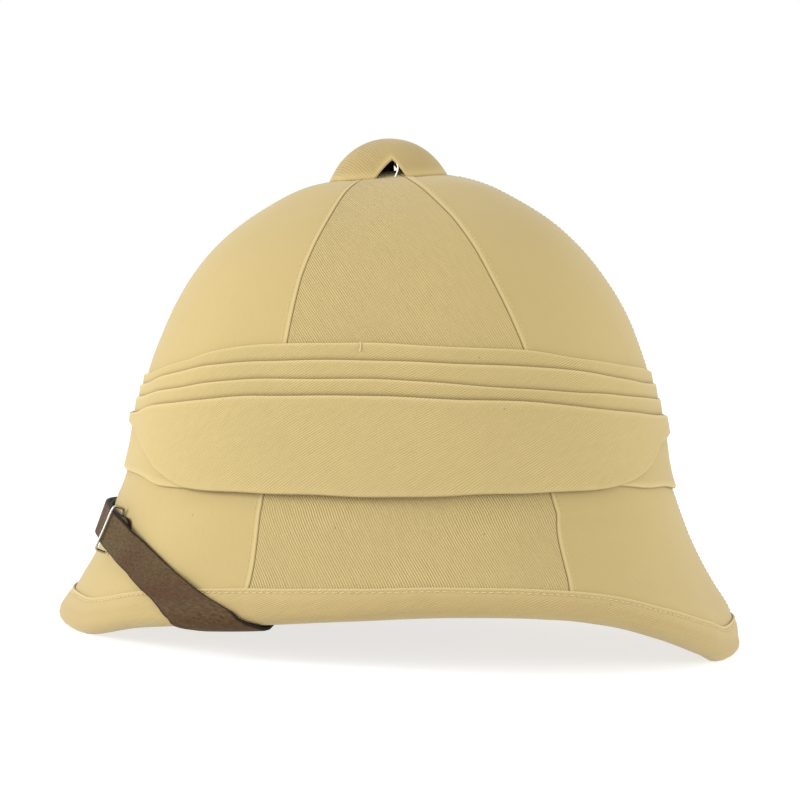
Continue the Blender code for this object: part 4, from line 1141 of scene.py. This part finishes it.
def khaki_twill(name, rib_angle, light, dark, marks_of_wear_and_light, rib_gap):
    """Cotton drill, woven in a twill and dyed khaki: matt, with fine raised diagonal ribs, a soft bloom on
    turned-away faces, paler threads where it is folded, partly a painted highlight, and painted shade with
    some dirt in its seams, creases and under folded edges. The ribs of the real cloth are about 0.6 mm apart,
    finer than the picture shows, and are drawn as far apart as the photograph shows them, about 1 mm."""
    material, tree, shader = new_finish(name)
    cloth = cloth_place(tree)
    turned = cloth_place(tree, 90 - rib_angle)
    ribs = bands(tree, turned, rib_gap, **{"Distortion": 0.7, "Detail": 2.0, "Detail Scale": 0.6})
    floats = bands(tree, turned, rib_gap * 0.8, "Y", **{"Distortion": 1.2, "Detail": 2.0})
    long_way = add_node(tree, "Mapping", {"Vector": turned, "Scale": (1.0, 0.12, 1.0)}).outputs[0]
    threads = noise(tree, long_way, 900.0, 3.0)

    # Threads and ribs vary the tone about its middle, the ribs more in some patches.
    shows = spread(tree, "ribs")
    patchy = remap(tree, noise(tree, cloth, 28.0, 3.0), (0.35, 0.65), (0.25, 1.0))
    rib_swing = calculate(tree, "SUBTRACT", ribs, 0.5)
    rib_tone = calculate(tree, "MULTIPLY", rib_swing, calculate(tree, "MULTIPLY", patchy, shows))
    slub_share = remap(tree, shows, (0.0, 1.0), (0.12, 0.45))
    slubs = calculate(tree, "MULTIPLY", threads, slub_share)
    slub_tone = calculate(tree, "MULTIPLY_ADD", slub_share, -0.5, slubs)
    tone = remap(tree, calculate(tree, "ADD", slub_tone, rib_tone), (-0.6, 0.6))
    shade = remap(tree, noise(tree, cloth, 7.0, 2.0), (0.3, 0.7), (0.965, 1.035))
    colour = blend(tree, 1.0, blend(tree, tone, dark, light), shade, "MULTIPLY")

    # Folded edges are rubbed pale, partly as a painted highlight; seams, creases and the cloth under folded
    # edges are darkened as painted shade with some dirt; and a few dark specks lie anywhere.
    wear_and_painted_light = spread(tree, "wear_and_painted_light")
    colour = blend(tree, calculate(tree, "MULTIPLY", wear_and_painted_light, 0.45), colour, marks_of_wear_and_light)
    # Marks below 0 paint the cloth darker: painted shade, with some dirt, in seams, creases and under folded
    # edges.
    colour = blend(tree, remap(tree, wear_and_painted_light, (-1.0, -0.05), (0.75, 0.0)), colour, "#6B5730")
    specks = add_node(tree, "TexVoronoi", {"Vector": cloth, "Scale": 45.0}, voronoi_dimensions="3D")
    sparse = remap(tree, specks.outputs["Distance"], (0.012, 0.022), (0.55, 0.0))
    colour = blend(tree, sparse, colour, "#5C4A2A")

    weave = calculate(tree, "MULTIPLY_ADD", floats, 0.15, ribs)
    height = calculate(tree, "ADD", slubs, calculate(tree, "MULTIPLY", weave, shows))
    set_inputs(tree, shader, {"Base Color": colour, "Normal": bumped(tree, height, 0.00014, 1.0),
                              "Roughness": 0.92, "Specular IOR Level": 0.25, "Sheen Weight": 0.18,
                              "Sheen Roughness": 0.45})
    return material


def sewing_thread(name, colour):
    """Mercerised cotton thread: two plies twisted, with a slight lustre."""
    material, tree, shader = new_finish(name)
    plies = bands(tree, cloth_place(tree, 35), 0.0005)
    set_inputs(tree, shader, {"Base Color": linear(colour), "Normal": bumped(tree, plies, 0.00004, 0.8),
                              "Roughness": 0.6, "Sheen Weight": 0.2})
    return material


def bridle_leather(name):
    """Vegetable-tanned bridle leather, dyed brown, waxed and handled: pebbled grain, redder where it is
    rubbed, with dark burnished edges and a low gloss."""
    material, tree, shader = new_finish(name)
    place = cloth_place(tree)
    grain = add_node(tree, "TexVoronoi", {"Vector": place, "Scale": 950.0, "Randomness": 1.0},
                     feature="SMOOTH_F1", voronoi_dimensions="2D").outputs["Distance"]
    creases = noise(tree, place, 90.0, 6.0, Distortion=0.6)
    redness = remap(tree, noise(tree, place, 22.0, 4.0), (0.40, 0.62))
    fleck = remap(tree, noise(tree, place, 750.0, 5.0, Roughness=0.7), (0.38, 0.60), (0.58, 1.22))
    colour = blend(tree, 1.0, blend(tree, redness, "#504027", "#472E1A"), fleck, "MULTIPLY")
    across = add_node(tree, "SeparateXYZ", {"Vector": place}).outputs["Y"]
    half = STRAP_WIDTH / 2
    edge = remap(tree, calculate(tree, "ABSOLUTE", across), (half - 0.0008, half - 0.0002))
    relief = calculate(tree, "MULTIPLY_ADD", creases, 1.2, grain)
    set_inputs(tree, shader, {"Base Color": blend(tree, edge, colour, "#1E180E"),
                              "Normal": bumped(tree, relief, 0.00016, 0.7),
                              "Roughness": remap(tree, creases, (0.0, 1.0), (0.52, 0.70)),
                              "Specular IOR Level": 0.13})
    return material


def nickelled_steel(name):
    """Steel, drawn or stamped and nickel-plated, dulled by handling: pale, slightly warm, softly bright."""
    material, tree, shader = new_finish(name)
    place = add_node(tree, "TexCoord", {}).outputs["Object"]
    dulling = noise(tree, place, 700.0, 4.0)
    set_inputs(tree, shader, {"Base Color": blend(tree, dulling, "#A5A193", "#C6C3B8"), "Metallic": 1.0,
                              "Roughness": remap(tree, dulling, (0.0, 1.0), (0.22, 0.46))})
    return material


def japanned_iron(name):
    """Iron with a dark brown japan lacquer: nearly black and glossy, with dust in its hollows."""
    material, tree, shader = new_finish(name)
    place = add_node(tree, "TexCoord", {}).outputs["Object"]
    dust = noise(tree, place, 450.0, 5.0)
    tone = blend(tree, remap(tree, dust, (0.5, 0.8), (0.0, 0.5)), "#2A150A", "#6B4A2E")
    set_inputs(tree, shader, {"Base Color": tone, "Roughness": remap(tree, dust, (0.0, 1.0), (0.18, 0.4)),
                              "Coat Weight": 0.5, "Coat Roughness": 0.1})
    return material


def painted_floor(name):
    """White opal acrylic, cast and sanded, lit faintly from below as a photographer's table is."""
    material, tree, shader = new_finish(name)
    set_inputs(tree, shader, {"Base Color": linear("#AAAAAA"), "Roughness": 0.95, "Specular IOR Level": 0.1,
                              "Emission Color": linear("#FFFFFF"), "Emission Strength": 0.71})
    return material


def dress_helmet():
    """Makes every piece with its finish, in place of the solids."""
    shell_twill = khaki_twill("khaki_drill_gores", 63, "#C0AB74", "#907E54", "#CEBB88", 0.00106)
    puggaree_twill = khaki_twill("khaki_drill_puggaree", -28, "#C0AB74", "#918055", "#D1BD89", 0.00088)
    binding_twill = khaki_twill("khaki_drill_binding", -21, "#BEA873", "#8F7D53", "#D1BE8D", 0.00082)
    cap_twill = khaki_twill("khaki_drill_ventilator", 55, "#B49E69", "#8A774E", "#C6B37E", 0.00112)
    thread = sewing_thread("khaki_thread", "#C8B482")
    leather = bridle_leather("bridle_leather")
    nickel = nickelled_steel("nickelled_steel")
    iron = japanned_iron("japanned_iron")
    white_thread = sewing_thread("white_thread", "#F1EBDC")

    place_piece(build_shell(shell_twill), "khaki_shell", "shell")
    place_piece(build_seam_stitches(thread), "khaki_shell")
    binding = place_piece(build_binding(binding_twill), "khaki_binding", "brim_binding")
    stitches = place_piece(build_stitches(thread), "khaki_binding")
    pleats = place_piece(build_pleats(puggaree_twill), "khaki_puggaree", "puggaree_pleats")
    wrap = place_piece(build_wrap(puggaree_twill), "khaki_puggaree", "puggaree_wrap")
    place_piece(build_cap(cap_twill), "khaki_ventilator", "ventilator_cap")
    for loose_end in build_loose_threads(white_thread, thread):
        place_piece(loose_end, "khaki_ventilator")
    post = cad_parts["ventilator_post"]
    post.data.materials.clear()
    post.data.materials.append(iron)
    for side, layer, word in ((1, 1, "left"), (-1, 0, "right")):
        strap = build_strap("strap_half_" + word, side, layer, leather)
        place_piece(strap, "brown_leather", "chin_strap_" + word)
        place_piece(build_slide("wire_slide_" + word, side, nickel), "pale_wire", "strap_slide_" + word)
        place_piece(build_stud("domed_stud_" + word, side, nickel), "pale_wire", "strap_stud_" + word)


def set_stage():
    """A pale floor, a white surround and soft studio lights."""
    bpy.context.scene.view_settings.view_transform = "Standard"
    floor_mesh = bpy.data.meshes.new("studio_floor")
    disc = bmesh.new()
    bmesh.ops.create_circle(disc, cap_ends=True, segments=64, radius=9.0)
    disc.to_mesh(floor_mesh)
    disc.free()
    floor_mesh.materials.append(painted_floor("white_floor"))
    floor = bpy.data.objects.new("studio_floor", floor_mesh)
    bpy.context.scene.collection.objects.link(floor)
    world = bpy.data.worlds.new("white_surround")
    world.use_nodes = True
    world.node_tree.nodes["Background"].inputs["Color"].default_value = (1.0, 1.0, 1.0, 1.0)
    world.node_tree.nodes["Background"].inputs["Strength"].default_value = 1.0
    bpy.context.scene.world = world
    soft_light("front_softbox", (0.75, -2.0, 0.75), 1.1, 40.0)
    soft_light("back_softbox", (0.9, 1.9, 0.6), 1.1, 20.0)


def soft_light(name, location, size, power):
    light = bpy.data.lights.new(name, "AREA")
    light.shape = "DISK"
    light.size = size
    light.energy = power
    lamp = bpy.data.objects.new(name, light)
    lamp.location = location
    toward = Vector((0.0, 0.0, 0.1)) - Vector(location)
    lamp.rotation_euler = toward.to_track_quat("-Z", "Y").to_euler()
    bpy.context.scene.collection.objects.link(lamp)


def set_camera():
    camera = bpy.data.cameras.new("product_camera")
    camera.sensor_width = SENSOR_WIDTH
    camera.lens = SENSOR_WIDTH * CAMERA_DISTANCE / VIEW_WIDTH
    camera.clip_start = 0.05
    camera.clip_end = 50.0
    viewer = bpy.data.objects.new("product_camera", camera)
    outward = Vector((math.cos(CAMERA_ELEVATION), 0.0, math.sin(CAMERA_ELEVATION)))
    turn = (-outward).to_track_quat("-Z", "Y").to_matrix() @ Matrix.Rotation(CAMERA_ROLL, 3, "Z")
    viewer.location = Vector(CAMERA_TARGET) + outward * CAMERA_DISTANCE
    viewer.rotation_euler = turn.to_euler()
    bpy.context.scene.collection.objects.link(viewer)
    bpy.context.scene.camera = viewer


set_camera()
set_stage()
dress_helmet()
